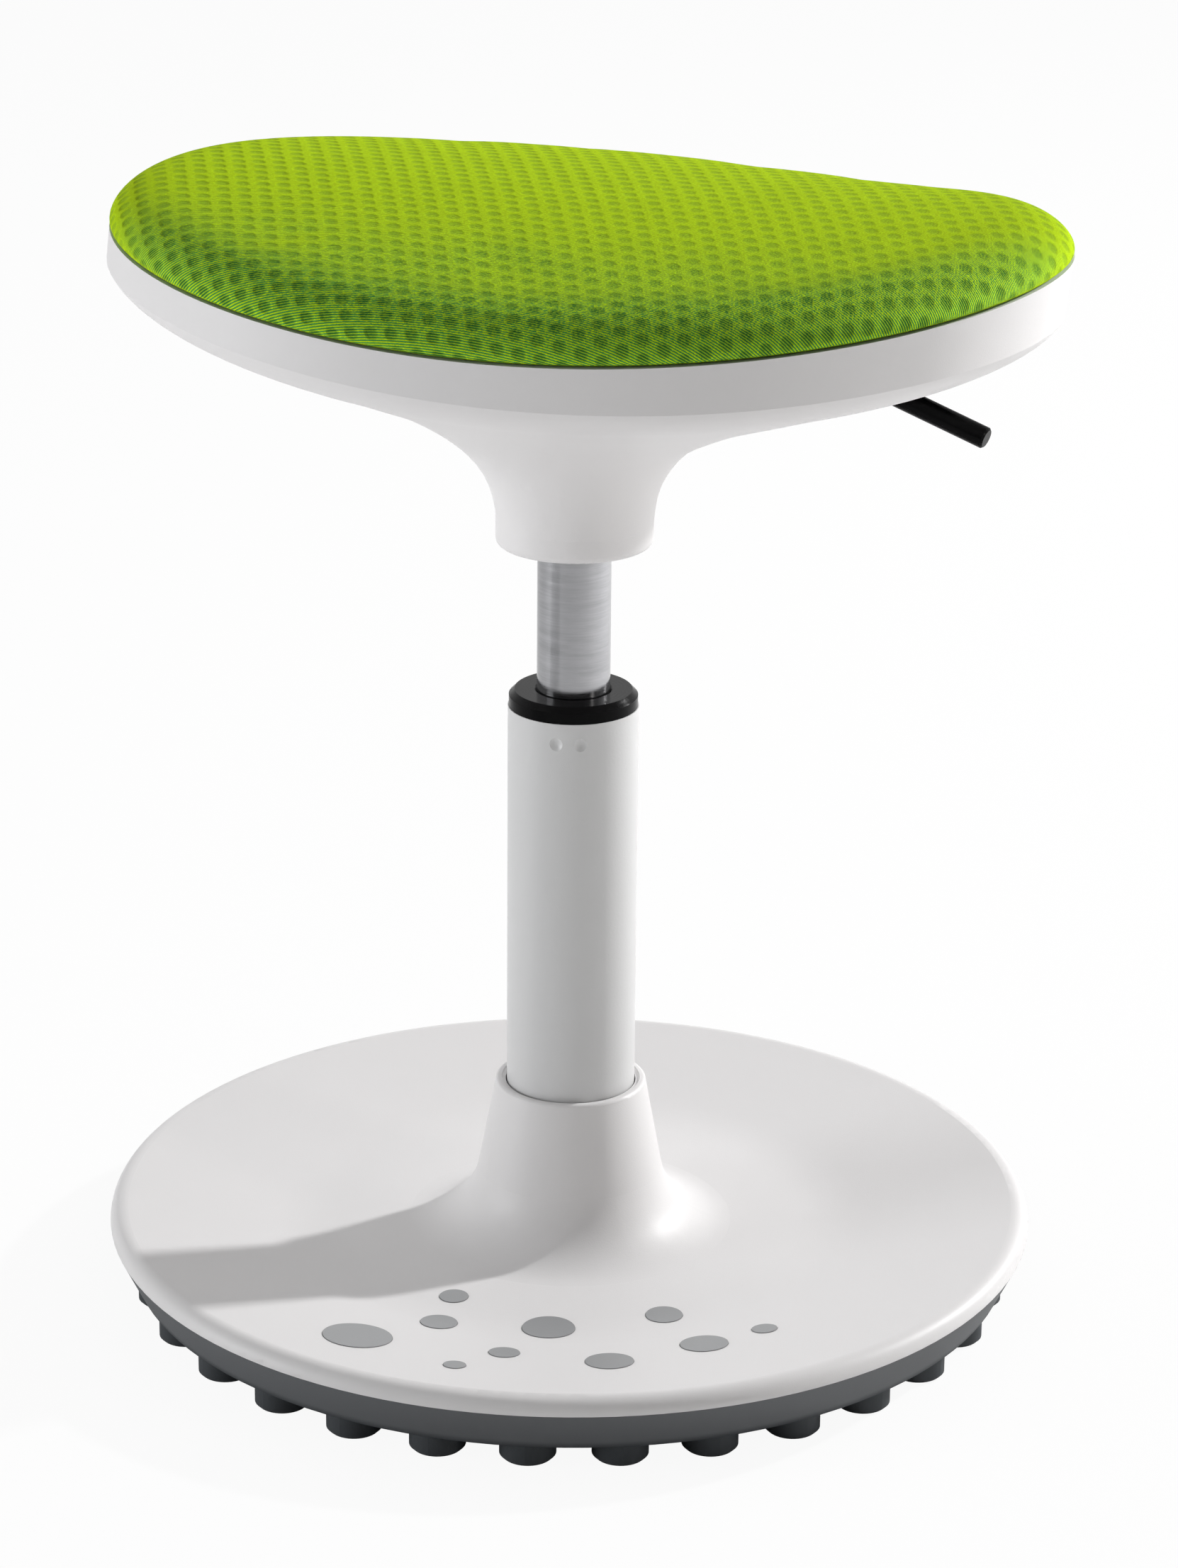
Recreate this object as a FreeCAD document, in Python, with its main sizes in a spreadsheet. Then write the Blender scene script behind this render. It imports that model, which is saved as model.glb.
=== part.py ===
import FreeCAD, Part
import math
import os
import re
import Sketcher
from FreeCAD import Placement, Rotation, Vector

# Active sitting stool: a dished base on rubber studs, a gas lift column and a saddle shaped seat.
# Millimetres, +Z up, origin on the floor at the column's axis, +X to the right, +Y to the back.

SIZES = {
    # Base
    "base_edge_r": (181, "outer radius where the cover meets the sole"),
    "base_edge_z": (25.5, "height of that joint line"),
    "lip_r": (6, "rounding of the cover's rim"),
    "dish_slope": (9, "slope of the dish inside the rim, degrees"),
    "dish_slope_width": (77, "distance from the rim to where the slope would meet the flat of the dish"),
    "dish_knee_r": (150, "bend radius between slope and flat"),
    "cover_wall": (3, "wall of the cover"),
    "hub_top_z": (80.7, "height of the hub's mouth"),
    "hub_top_r": (29.5, "outer radius of the hub's mouth"),
    "hub_taper": (10.5, "lean of the hub's side, degrees"),
    "hub_flare_r": (28, "radius of the flare between hub and dish"),
    "hub_edge": (1.4, "rounding of the hub's mouth"),
    "hub_step_r": (27.1, "outer radius of the sunk ring in the mouth"),
    "hub_step": (0.8, "depth of the sunk ring"),
    "hub_collar": (6, "height of the collar round the column"),
    "hub_gap": (0.5, "gap between collar and column"),
    "skirt_inset": (5, "step from the rim in to the cover's skirt"),
    "skirt_drop": (5.5, "reach of the skirt below the joint line"),
    "skirt_wall": (2.8, "wall of the skirt"),
    "sole_inset": (8, "lean of the sole's side from the rim to its underside"),
    "sole_z": (9, "height of the sole's underside above the floor"),
    "sole_floor": (3, "thickness of the sole's floor"),
    "sole_gap": (0.3, "gap between skirt and sole"),
    "sole_side": (5, "thickness of the sole's side at its foot"),
    "foot_r": (10.5, "radius of a rubber foot"),
    "foot_margin": (1, "sole beyond the feet"),
    "foot_count": (30, "number of feet"),
    "foot_edge": (1.2, "bevel of a foot"),
    "foot_phase": (0.8, "azimuth of the first foot, degrees"),
    "access_r": (30, "opening under the column"),
    "cover_screw_count": (8, "screws that hold sole and cover"),
    "cover_screw_inset": (38, "distance of their ring from the rim"),
    "cover_boss_r": (4.5, "radius of a boss under the cover"),
    "cover_screw_r": (1.9, "shank radius"),
    "cover_screw_head_r": (4, "head radius"),
    "cover_screw_head": (1.6, "head height"),
    "axis_length": (10, "length drawn for a turning axis"),
    "screw_fit": (0.05, "clearance round screws and pins"),
    "screw_sink": (0.3, "depth of a screw's end or head below its surface"),
    "plate_margin": (4.5, "gap between the ballast plate and the bosses"),
    "plate_thick": (5, "thickness of the ballast plate"),
    "flange_r": (46, "radius of the column socket's flange"),
    "flange_thick": (3, "thickness of the flange"),
    "socket_r": (29, "outer radius of the column socket"),
    "socket_top_z": (60, "top of the column socket"),
    "flange_screw_count": (6, "screws in the flange"),
    "flange_screw_ring_r": (38, "radius of their ring"),
    "flange_screw_r": (3, "shank radius"),
    "flange_screw_head_r": (4.75, "head radius"),
    "flange_screw_head": (3.4, "head height"),
    "pad_proud": (0.3, "height of the grip pads above the dish"),
    "pad_depth": (1.6, "depth of their recesses"),
    "pad_gap": (0.15, "gap round a grip pad"),
    "pad_band_in_r": (70, "inner radius of the part of the dish that holds the pads"),
    "pad_band_inset": (19, "distance of that part from the rim"),
    # Column
    "tube_r": (25, "outer radius of the stand tube"),
    "tube_wall": (2, "wall of the stand tube"),
    "tube_top_z": (234.6, "top of the stand tube"),
    "tube_bottom_z": (16, "bottom of the stand tube"),
    "tube_taper_z": (72, "where its taper begins"),
    "tube_foot_r": (24, "radius at its bottom"),
    "tube_floor": (3, "thickness of its floor"),
    "taper_fit": (0.03, "clearance of a pressed taper"),
    "dimple_drop": (8, "depth of the crimped dimples below the tube's top"),
    "dimple_ball_r": (4, "radius of the dimple's hollow"),
    "dimple_depth": (1, "depth of a dimple"),
    "dimple_first": (-105, "azimuth of the first dimple, degrees"),
    "dimple_second": (-83.5, "azimuth of the second dimple, degrees"),
    "dimple_pin_r": (2, "radius of the bump inside the wall"),
    "dimple_pin": (1.2, "height of that bump"),
    "bush_flange_r": (24.65, "radius of the guide bush's flange"),
    "bush_flange": (6.4, "height of the flange"),
    "bush_bevel": (2.2, "bevel of the flange"),
    "bush_mouth": (0.8, "bevel of the bush's mouth"),
    "bush_reach": (74.6, "reach of the guide bush into the tube"),
    "bush_fit": (0.04, "clearance of the bush in the tube"),
    "bush_groove": (1.6, "depth of the groove that takes the dimples"),
    "bush_groove_height": (6, "height of that groove"),
    "slide_fit": (0.06, "running clearance of the lift"),
    # Gas lift
    "lift_r": (14, "outer radius of the pressure tube"),
    "lift_bore_r": (12.2, "bore radius of the pressure tube"),
    "lift_bottom_z": (92, "its bottom with the seat as shown"),
    "lift_top_z": (372, "its top"),
    "lift_taper_length": (37, "length of its upper taper"),
    "lift_taper": (1.33, "lean of that taper, degrees"),
    "lift_roll": (2, "thickness of its rolled ends"),
    "lift_mouth_r": (10.5, "opening of the rolled bottom"),
    "cylinder_r": (11, "outer radius of the inner cylinder"),
    "cylinder_bore_r": (9.6, "bore of the inner cylinder"),
    "guide_height": (23, "height of the rod guide"),
    "seal_r": (8.5, "outer radius of the rod seal"),
    "seal_height": (5, "height of the rod seal"),
    "valve_depth": (45, "depth of the valve block's underside below the lift's top"),
    "rod_r": (5, "radius of the piston rod"),
    "rod_top_z": (204, "top of the piston rod"),
    "rod_end_r": (4, "radius of its lower end"),
    "rod_end_z": (10.5, "bottom of the rod"),
    "clip_z": (13, "underside of the clip's groove"),
    "clip_height": (1.5, "height of that groove"),
    "clip_groove_r": (3, "radius in the groove"),
    "clip_r": (7.5, "outer radius of the clip"),
    "washer_r": (10, "radius of the clip's washer"),
    "piston_height": (14, "height of the piston"),
    "ring_height": (3, "height of the piston ring"),
    "ring_depth": (1.6, "depth of its groove"),
    "rod_bevel": (1, "bevels and steps of the rod"),
    "race_play": (1.2, "gap between rod and lower race"),
    "race_r": (15, "outer radius of a bearing race"),
    "race_height": (2.5, "height of a bearing race"),
    "ball_r": (2, "radius of a bearing ball"),
    "ball_ring_r": (10.5, "radius of the ring of balls"),
    "ball_count": (10, "number of balls"),
    "ball_fit": (0.05, "clearance round a ball"),
    "ball_sink": (0.8, "depth of a ball in its race"),
    "cage_height": (1.2, "height of the ball cage"),
    "cage_margin": (1.2, "cage width beside the balls"),
    "bumper_r": (12, "radius of the rubber bumper"),
    "bumper_height": (11, "height of the rubber bumper"),
    # Release
    "button_play": (1, "gap round the button in the tube's top"),
    "button_bevel": (0.5, "bevel of the button"),
    "valve_spring_room": (12, "height of the spring's chamber"),
    "spring_r": (3, "mean radius of the valve spring"),
    "spring_wire_r": (0.4, "radius of its wire"),
    "spring_turns": (6, "turns of the spring"),
    "button_r": (4, "radius of the release button"),
    "button_stem_r": (2, "radius of its stem"),
    "button_depth": (20, "depth of the button's neck below the lift's top"),
    "button_stem": (21, "length of its stem"),
    "lever_gap": (0.4, "gap between lever and button"),
    "lever_r": (4, "radius of the lever rod"),
    "lever_rise": (11, "height of the lever's inner run above the lift's top"),
    "lever_inner": (-5, "inner end of the lever, along its own direction"),
    "lever_bend_at": (98.4, "where its two runs would meet"),
    "lever_bend_r": (30, "bend radius"),
    "lever_drop": (17.5, "fall of the outer run, degrees"),
    "lever_reach": (165, "outer end of the lever"),
    "lever_edge": (0.7, "rounding of its end"),
    "lever_azimuth": (-28, "direction of the lever, degrees"),
    "pivot_at": (45, "distance of the lever's pin from the axis"),
    "pivot_r": (2, "radius of the lever's pin"),
    "pivot_head_r": (3.6, "radius of its heads"),
    "pivot_head": (1.5, "height of its heads"),
    # Seat bracket
    "bracket_length": (116, "length of the channel"),
    "bracket_width": (56, "width of the channel"),
    "bracket_wide": (104, "width over the flanges"),
    "bracket_sheet": (2.5, "sheet of the bracket"),
    "bracket_height": (32, "height of the channel"),
    "cone_r": (18, "outer radius of the taper socket"),
    "cone_height": (34, "height of the taper socket"),
    "cone_drop": (2, "depth of its top below the lift's top"),
    "cone_proud": (8, "height of its top above the bracket's underside"),
    "bolt_x": (42, "bolt place along the bracket"),
    "bolt_y": (40, "bolt place across the bracket"),
    "bolt_r": (3, "shank radius of a seat bolt"),
    "bolt_head_r": (5, "head radius"),
    "bolt_head": (3.5, "head height"),
    "bolt_grip": (9, "reach of a bolt into its insert"),
    "insert_r": (4.5, "radius of a threaded insert"),
    "insert_height": (8, "height of an insert"),
    # Seat outline: radius and height as waves round the seat
    "seat_x": (7.7, "seat centre to the right of the column"),
    "seat_y": (2.4, "seat centre behind the column"),
    "seat_r": (180.1, "mean radius of the seat"),
    "seat_oval": (7.2, "two-lobed change of radius"),
    "seat_oval_turn": (6.7, "its azimuth, degrees"),
    "seat_lobe": (5.9, "three-lobed change of radius"),
    "seat_lobe_turn": (18.6, "its azimuth, degrees"),
    "seat_rise": (17, "height of the seat's centre above the bracket, at the cushion's underside"),
    "seat_tilt": (12.4, "rise of the high edge"),
    "seat_tilt_turn": (-114.3, "azimuth of the high edge, degrees"),
    "seat_saddle": (10.3, "rise of the two sides of the saddle"),
    "seat_saddle_turn": (-16.9, "azimuth of the sides, degrees"),
    "seat_twist": (1.0, "three-lobed change of height"),
    "seat_twist_turn": (-21.6, "its azimuth, degrees"),
    "seat_cap": (0.06, "share of the radius that is closed flat"),
    # Seat shell
    "shell_wall": (3, "wall of the seat shell"),
    "shell_out": (0.9, "shell beyond the cushion's line"),
    "band_height": (17.5, "mean height of the upright band"),
    "band_more": (5, "change of band height round the seat"),
    "band_turn": (12, "azimuth of the tallest band, degrees"),
    "band_lean": (0.5, "mean lean of the band"),
    "band_lean_more": (2.6, "change of that lean"),
    "band_lean_turn": (-38, "azimuth of the most lean, degrees"),
    "bowl_drop": (12.8, "how steeply the bowl leaves the band"),
    "bowl_reach": (43.6, "how far the bowl runs on from the neck"),
    "bowl_reach_less": (11.6, "change of that reach"),
    "neck_r": (29.8, "outer radius of the neck"),
    "neck_drop": (112.2, "depth of the neck's bottom below the seat's centre"),
    "neck_straight": (9, "straight height of the neck below its flare"),
    "neck_flare_r": (38.6, "radius of the flare"),
    "neck_flare": (45, "sweep of the flare, degrees"),
    "neck_edge": (2.4, "rounding of the neck's bottom edge"),
    "slot_width": (12, "width of the lever's slot"),
    "slot_below": (22.5, "reach of the lever's slot below the lever's inner run"),
    "slot_above": (6, "reach of the slot above that run"),
    "slot_from": (106, "inner end of the slot"),
    "slot_to": (154, "outer end of the slot"),
    "shell_screw_count": (6, "screws between pan and shell"),
    "shell_screw_at": (0.66, "share of the radius where they stand"),
    "shell_screw_turn": (2, "azimuth of the first, degrees"),
    "shell_screw_r": (1.9, "shank radius"),
    "shell_screw_head_r": (3.8, "head radius"),
    "shell_screw_head": (1.6, "head height"),
    "shell_screw_reach": (12, "reach of a screw into its boss"),
    "shell_boss_r": (5, "radius of a boss in the shell"),
    # Seat pan and cushion
    "pan_gap": (0.3, "gap between pan, shell and cushion"),
    "pan_thick": (5, "thickness of the seat pan"),
    "pan_sink": (1.2, "depth of a screw head below the pan's top"),
    "pan_boss_r": (66, "radius of the pan's middle boss"),
    "cushion_gap": (0.3, "gap under the cushion"),
    "cushion_lift": (0.7, "how far its lower edge stands up from the pan"),
    "cushion_edge": (17.3, "height of the cushion's rounded edge"),
    "cushion_round": (0.12, "share of the radius taken by that edge"),
    "cushion_power": (2.2, "fullness of the edge"),
    "cushion_crown": (5.8, "crown over the middle"),
    "cushion_tuck": (2.2, "how far the lower edge is drawn in"),
    "cushion_tuck_height": (5, "height over which it is drawn in"),
}

# Radii and heights that follow from the sizes
PLACES = {
    "dish_knee_at": "base_edge_r - dish_slope_width",
    "skirt_r": "base_edge_r - skirt_inset",
    "sole_foot_r": "base_edge_r - sole_inset",
    "foot_ring_r": "sole_foot_r - foot_margin - foot_r",
    "cover_screw_ring_r": "base_edge_r - cover_screw_inset",
    "plate_r": "cover_screw_ring_r - cover_boss_r - plate_margin",
    "pad_band_out_r": "base_edge_r - pad_band_inset",
    "dimple_z": "tube_top_z - dimple_drop",
    "bush_bottom_z": "tube_top_z - bush_reach",
    "lift_taper_z": "lift_top_z - lift_taper_length",
    "valve_bottom_z": "lift_top_z - valve_depth",
    "button_neck_z": "lift_top_z - button_depth",
    "button_stem_z": "button_neck_z - button_stem",
    "lever_z": "lift_top_z + lever_rise",
    "cone_top_z": "lift_top_z - cone_drop",
    "cone_bottom_z": "cone_top_z - cone_height",
    "bracket_web_z": "cone_top_z - cone_proud",
    "bracket_top_z": "bracket_web_z + bracket_height",
    "seat_z": "bracket_top_z + seat_rise",
    "neck_bottom_z": "seat_z - neck_drop",
    "neck_z": "neck_bottom_z + neck_straight",
    "slot_bottom_z": "lever_z - slot_below",
    "slot_top_z": "lever_z + slot_above",
}

# Grip pads in the dish: place to the right, distance from the rim's front, diameter
GRIP_PADS = (
    (-78.5, 61.7, 26),
    (-43.9, 107.9, 11),
    (-48.9, 83.8, 14),
    (-41.7, 36.2, 8.4),
    (-23.8, 52.7, 11.6),
    (-7.6, 81, 20),
    (15.1, 44, 18),
    (36.1, 93.1, 14),
    (50.4, 61.2, 18),
    (73.3, 74.1, 9.6),
)
PAD_SIZES = ("across", "inset", "width")

doc = FreeCAD.newDocument("active_stool")
sheet = doc.addObject("Spreadsheet::Sheet", "Sizes")


def fill_sheet():
    rows = [(name, value, note) for name, (value, note) in SIZES.items()]
    for number, pad in enumerate(GRIP_PADS, 1):
        for part, value in zip(PAD_SIZES, pad):
            rows.append((f"pad_{number}_{part}", value, f"grip pad {number}, {part}"))
    for row, (name, value, note) in enumerate(rows, 1):
        sheet.set(f"A{row}", note)
        sheet.set(f"B{row}", str(value))
        sheet.setAlias(f"B{row}", name)
    doc.recompute()
    return {name for name, value, note in rows}


NAMES = fill_sheet()


def bound(text):
    """The expression with its places worked out and every size name read from the sheet."""
    def worked_out(word):
        if word[0] in PLACES:
            return "(" + bound(PLACES[word[0]]) + ")"
        return "Sizes." + word[0] if word[0] in NAMES else word[0]

    return re.sub(r"[a-z_][a-z_0-9]*", worked_out, text)


def size(text):
    return float(sheet.evalExpression(bound(text)))


def new_body(label):
    body = doc.addObject("PartDesign::Body", label)
    body.Label = label
    return body


def new_sketch(body, name, plane="XY_Plane", height=None):
    sketch = body.newObject("Sketcher::SketchObject", name)
    role = [item for item in body.Origin.OriginFeatures if item.Role == plane][0]
    sketch.AttachmentSupport = [(role, "")]
    sketch.MapMode = "FlatFace"
    if height is not None:
        sketch.setExpression("AttachmentOffset.Base.z", bound(height))
    return sketch


def pin_down(sketch, edge, end, place):
    """Tie one end of a sketch edge to its two sizes."""
    for kind, text, axis in (("DistanceX", place[0], -2), ("DistanceY", place[1], -1)):
        if text == "0":
            sketch.addConstraint(Sketcher.Constraint("PointOnObject", edge, end, axis))
            continue
        number = sketch.addConstraint(Sketcher.Constraint(kind, -1, 1, edge, end, size(text)))
        sketch.setExpression(f"Constraints[{number}]", bound(text))


def arc_edge(start, end, radius, turn):
    """An arc under half a circle; turn is 1 when it runs anticlockwise from start to end."""
    middle = (start + end) * 0.5
    chord = end - start
    rise = math.sqrt(radius**2 - (chord.Length / 2) ** 2)
    across = Vector(-chord.y, chord.x, 0).normalize()
    centre = middle + across * rise * turn
    first, last = (start, end) if turn > 0 else (end, start)
    angles = [math.atan2(point.y - centre.y, point.x - centre.x) for point in (first, last)]
    if angles[1] < angles[0]:
        angles[1] += 2 * math.pi
    return Part.ArcOfCircle(Part.Circle(centre, Vector(0, 0, 1), radius), angles[0], angles[1])


def outline(sketch, corners, closed=True):
    """Lines and arcs through the corners; a corner (x, y, radius, turn) is reached by an arc."""
    points = [Vector(size(corner[0]), size(corner[1]), 0) for corner in corners]
    count = len(corners) if closed else len(corners) - 1
    ends = []
    for number in range(count):
        goal = (number + 1) % len(corners)
        corner = corners[goal]
        if len(corner) == 2:
            edge = sketch.addGeometry(Part.LineSegment(points[number], points[goal]))
            ends.append((edge, 1, 2))
            continue
        radius, turn = corner[2:]
        edge = sketch.addGeometry(arc_edge(points[number], points[goal], size(radius), turn))
        ends.append((edge, 1, 2) if turn > 0 else (edge, 2, 1))
        tie = sketch.addConstraint(Sketcher.Constraint("Radius", edge, size(radius)))
        sketch.setExpression(f"Constraints[{tie}]", bound(radius))
    for number in range(count if closed else count - 1):
        edge, start, end = ends[number]
        following, begin, finish = ends[(number + 1) % count]
        sketch.addConstraint(Sketcher.Constraint("Coincident", edge, end, following, begin))
    for number in range(count):
        edge, start, end = ends[number]
        pin_down(sketch, edge, start, corners[number])
    if not closed:
        edge, start, end = ends[-1]
        pin_down(sketch, edge, end, corners[-1])


def ring_of_circle(sketch, x, y, radius):
    edge = sketch.addGeometry(Part.Circle(Vector(size(x), size(y), 0), Vector(0, 0, 1), size(radius)))
    pin_down(sketch, edge, 3, (x, y))
    tie = sketch.addConstraint(Sketcher.Constraint("Radius", edge, size(radius)))
    sketch.setExpression(f"Constraints[{tie}]", bound(radius))


def turn_outline(body, name, corners, kind="Revolution"):
    sketch = new_sketch(body, name + "_outline", "XZ_Plane")
    outline(sketch, corners)
    feature = body.newObject("PartDesign::" + kind, name)
    feature.Profile = (sketch, [""])
    feature.ReferenceAxis = (sketch, ["V_Axis"])
    feature.Angle = 360
    return feature


def turned(label, corners):
    """A piece turned about the column's axis."""
    body = new_body(label)
    turn_outline(body, label + "_turn", corners)
    return body


def raise_circle(body, name, x, y, radius, bottom, top, kind="Pad"):
    """A round pad up from the height bottom, or a round pocket down from the height top."""
    level = bottom if kind == "Pad" else top
    sketch = new_sketch(body, name + "_circle", "XY_Plane", level)
    ring_of_circle(sketch, x, y, radius)
    feature = body.newObject("PartDesign::" + kind, name)
    feature.Profile = (sketch, [""])
    feature.setExpression("Length", bound(f"({top}) - ({bottom})"))
    return feature


def repeat_round(body, features, count, name):
    pattern = body.newObject("PartDesign::PolarPattern", name)
    pattern.Originals = features
    axis = [item for item in body.Origin.OriginFeatures if item.Role == "Z_Axis"][0]
    pattern.Axis = (axis, [""])
    pattern.Angle = 360
    pattern.setExpression("Occurrences", bound(count))
    body.Tip = pattern
    return pattern


# Base cover: heights and radii worked out from the sizes

SLOPE = "dish_slope"
LIP_AT_R = f"(base_edge_r - lip_r - lip_r * sin({SLOPE}))"
LIP_AT_Z = f"(base_edge_z + lip_r * cos({SLOPE}))"
DISH_Z = f"({LIP_AT_Z} - ({LIP_AT_R} - dish_knee_at) * tan({SLOPE}))"
KNEE_IN_R = f"(dish_knee_at - dish_knee_r * tan({SLOPE} / 2))"
HUB_FOOT_R = f"(hub_top_r + (hub_top_z - hub_edge - {DISH_Z}) * tan(hub_taper))"
FLARE_R = f"({HUB_FOOT_R} + hub_flare_r * tan(45 - hub_taper / 2))"
PLATE_Z = "(sole_z + sole_floor)"
FLANGE_Z = f"({PLATE_Z} + plate_thick)"


def knee_end(sink):
    """The outer end of the bend in the dish, on a line sunk below the dish's surface."""
    bend = f"(dish_knee_r + {sink})"
    return f"{KNEE_IN_R} + {bend} * sin({SLOPE})", f"{DISH_Z} + dish_knee_r - {bend} * cos({SLOPE})"


def slope_z(radius, sink="0"):
    return f"({LIP_AT_Z} - ({LIP_AT_R} - ({radius})) * tan({SLOPE}) - ({sink}) / cos({SLOPE}))"


def hub_side(sink):
    """The end of the hub's straight side where its flare begins."""
    bend = f"(hub_flare_r + {sink})"
    return f"{FLARE_R} - {bend} * cos(hub_taper)", f"{DISH_Z} + hub_flare_r - {bend} * sin(hub_taper)"


def ring_places(radius, phase):
    return [(f"({radius}) * cos({phase})", f"({radius}) * sin({phase})")]


def make_base_cover(recesses):
    skirt_in_r = "skirt_r - skirt_wall"
    mouth_r = "tube_r + hub_gap"
    collar_r = "hub_top_r + (hub_collar - hub_edge) * tan(hub_taper) - cover_wall / cos(hub_taper)"
    body = turned("base_cover_blank", [
        (mouth_r, "hub_top_z - hub_step"),
        ("hub_step_r - hub_step / 4", "hub_top_z - hub_step"),
        ("hub_step_r", "hub_top_z"),
        ("hub_top_r - hub_edge", "hub_top_z"),
        ("hub_top_r", "hub_top_z - hub_edge", "hub_edge", -1),
        hub_side("0"),
        (FLARE_R, DISH_Z, "hub_flare_r", 1),
        (KNEE_IN_R, DISH_Z),
        (*knee_end("0"), "dish_knee_r", 1),
        (LIP_AT_R, LIP_AT_Z),
        ("base_edge_r", "base_edge_z", "lip_r", -1),
        ("skirt_r", "base_edge_z"),
        ("skirt_r", "base_edge_z - skirt_drop"),
        (skirt_in_r, "base_edge_z - skirt_drop"),
        (skirt_in_r, slope_z(skirt_in_r, "cover_wall")),
        knee_end("cover_wall"),
        (KNEE_IN_R, f"{DISH_Z} - cover_wall", "dish_knee_r + cover_wall", -1),
        (FLARE_R, f"{DISH_Z} - cover_wall"),
        (*hub_side("cover_wall"), "hub_flare_r + cover_wall", -1),
        (collar_r, "hub_top_z - hub_collar"),
        (mouth_r, "hub_top_z - hub_collar"),
    ])
    boss_top = slope_z("cover_screw_ring_r", "cover_wall / 2")
    place = ring_places("cover_screw_ring_r", "foot_phase")[0]
    boss = raise_circle(body, "cover_boss", *place, "cover_boss_r", PLATE_Z, boss_top)
    hole = raise_circle(body, "cover_boss_hole", *place, "cover_screw_r + screw_fit",
                        f"{PLATE_Z} - 1", f"{boss_top} - cover_wall / 3", "Pocket")
    repeat_round(body, [boss, hole], "cover_screw_count", "cover_bosses")
    cover = doc.addObject("Part::Cut", "base_cover")
    cover.Base = body
    cover.Tool = recesses
    return cover


def dish_band(label, above, below):
    """A thin ring that follows the dish, from above its surface to below it."""
    inner, outer = "pad_band_in_r", "pad_band_out_r"
    return turned(label, [
        (inner, f"{DISH_Z} + {above}"),
        (KNEE_IN_R, f"{DISH_Z} + {above}"),
        (*knee_end(f"(-{above})"), f"dish_knee_r - {above}", 1),
        (outer, slope_z(outer, f"-{above}")),
        (outer, slope_z(outer, below)),
        knee_end(below),
        (KNEE_IN_R, f"{DISH_Z} - {below}", f"dish_knee_r + {below}", -1),
        (inner, f"{DISH_Z} - {below}"),
    ])


def pad_columns(label, margin):
    columns = []
    for number in range(1, len(GRIP_PADS) + 1):
        column = doc.addObject("Part::Cylinder", f"{label}_{number}")
        column.setExpression("Radius", bound(f"pad_{number}_width / 2 + {margin}"))
        column.setExpression("Height", bound("hub_top_z"))
        column.setExpression("Placement.Base.x", bound(f"pad_{number}_across"))
        column.setExpression("Placement.Base.y", bound(f"pad_{number}_inset - base_edge_r"))
        columns.append(column)
    group = doc.addObject("Part::MultiFuse", label)
    group.Shapes = columns
    return group


def share(label, base, tool):
    both = doc.addObject("Part::Common", label)
    both.Base = base
    both.Tool = tool
    return both


def make_pad_recesses():
    band = dish_band("recess_band", "cover_wall", "pad_depth")
    return share("pad_recesses", band, pad_columns("recess_column", "pad_gap"))


def make_grip_pads():
    band = dish_band("pad_band", "pad_proud", "(pad_depth - screw_fit)")
    return share("grip_pads", band, pad_columns("pad_column", "0"))


def make_base_sole():
    ledge_z = "base_edge_z - skirt_drop - sole_gap"
    body = turned("base_sole", [
        ("access_r", "sole_z"),
        ("sole_foot_r", "sole_z"),
        ("base_edge_r", "base_edge_z"),
        ("skirt_r + sole_gap", "base_edge_z"),
        ("skirt_r + sole_gap", ledge_z),
        ("skirt_r - skirt_wall - 1", ledge_z),
        ("sole_foot_r - sole_side", PLATE_Z),
        ("access_r", PLATE_Z),
    ])
    hole = raise_circle(body, "sole_screw_hole", "cover_screw_ring_r", "0", "cover_screw_r + sole_gap",
                        "sole_z - 1", f"{PLATE_Z} + 1", "Pocket")
    sink = raise_circle(body, "sole_screw_sink", "cover_screw_ring_r", "0", "cover_screw_head_r + sole_gap",
                        "sole_z - 1", "sole_z + cover_screw_head + screw_sink", "Pocket")
    repeat_round(body, [hole, sink], "cover_screw_count", "sole_screw_holes")
    sketch = new_sketch(body, "foot_outline", "XZ_Plane")
    outline(sketch, [
        ("foot_ring_r", "0"),
        ("foot_ring_r + foot_r - foot_edge", "0"),
        ("foot_ring_r + foot_r", "foot_edge"),
        ("foot_ring_r + foot_r", "sole_z + sole_floor / 2"),
        ("foot_ring_r", "sole_z + sole_floor / 2"),
    ])
    foot = spin(body, sketch, "foot", "foot_ring_r")
    repeat_round(body, [foot], "foot_count", "feet")
    body.Placement = Placement(Vector(), Rotation(Vector(0, 0, 1), size("foot_phase")))
    body.setExpression("Placement.Rotation.Angle", bound("foot_phase"))
    return body


def spin(body, sketch, name, axis_x, kind="Revolution"):
    """Turn an outline about the sketch's own upright line at axis_x."""
    at, length = size(axis_x), size("axis_length")
    line = sketch.addGeometry(Part.LineSegment(Vector(at, 0, 0), Vector(at, length, 0)), True)
    pin_down(sketch, line, 1, (axis_x, "0"))
    pin_down(sketch, line, 2, (axis_x, "axis_length"))
    feature = body.newObject("PartDesign::" + kind, name)
    feature.Profile = (sketch, [""])
    feature.ReferenceAxis = (sketch, ["Axis0"])
    feature.Angle = 360
    return feature


def ring_of_screws(label, ring_r, phase, count, shank, head):
    """Round screws on a ring; shank and head are (radius, bottom, top)."""
    body = new_body(label)
    body.AllowCompound = True
    place = ring_places(ring_r, phase)[0]
    parts = {"_shank": shank, "_head": head}
    features = [raise_circle(body, label + name, *place, *part) for name, part in parts.items()]
    repeat_round(body, features, count, label + "_ring")
    return body


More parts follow.
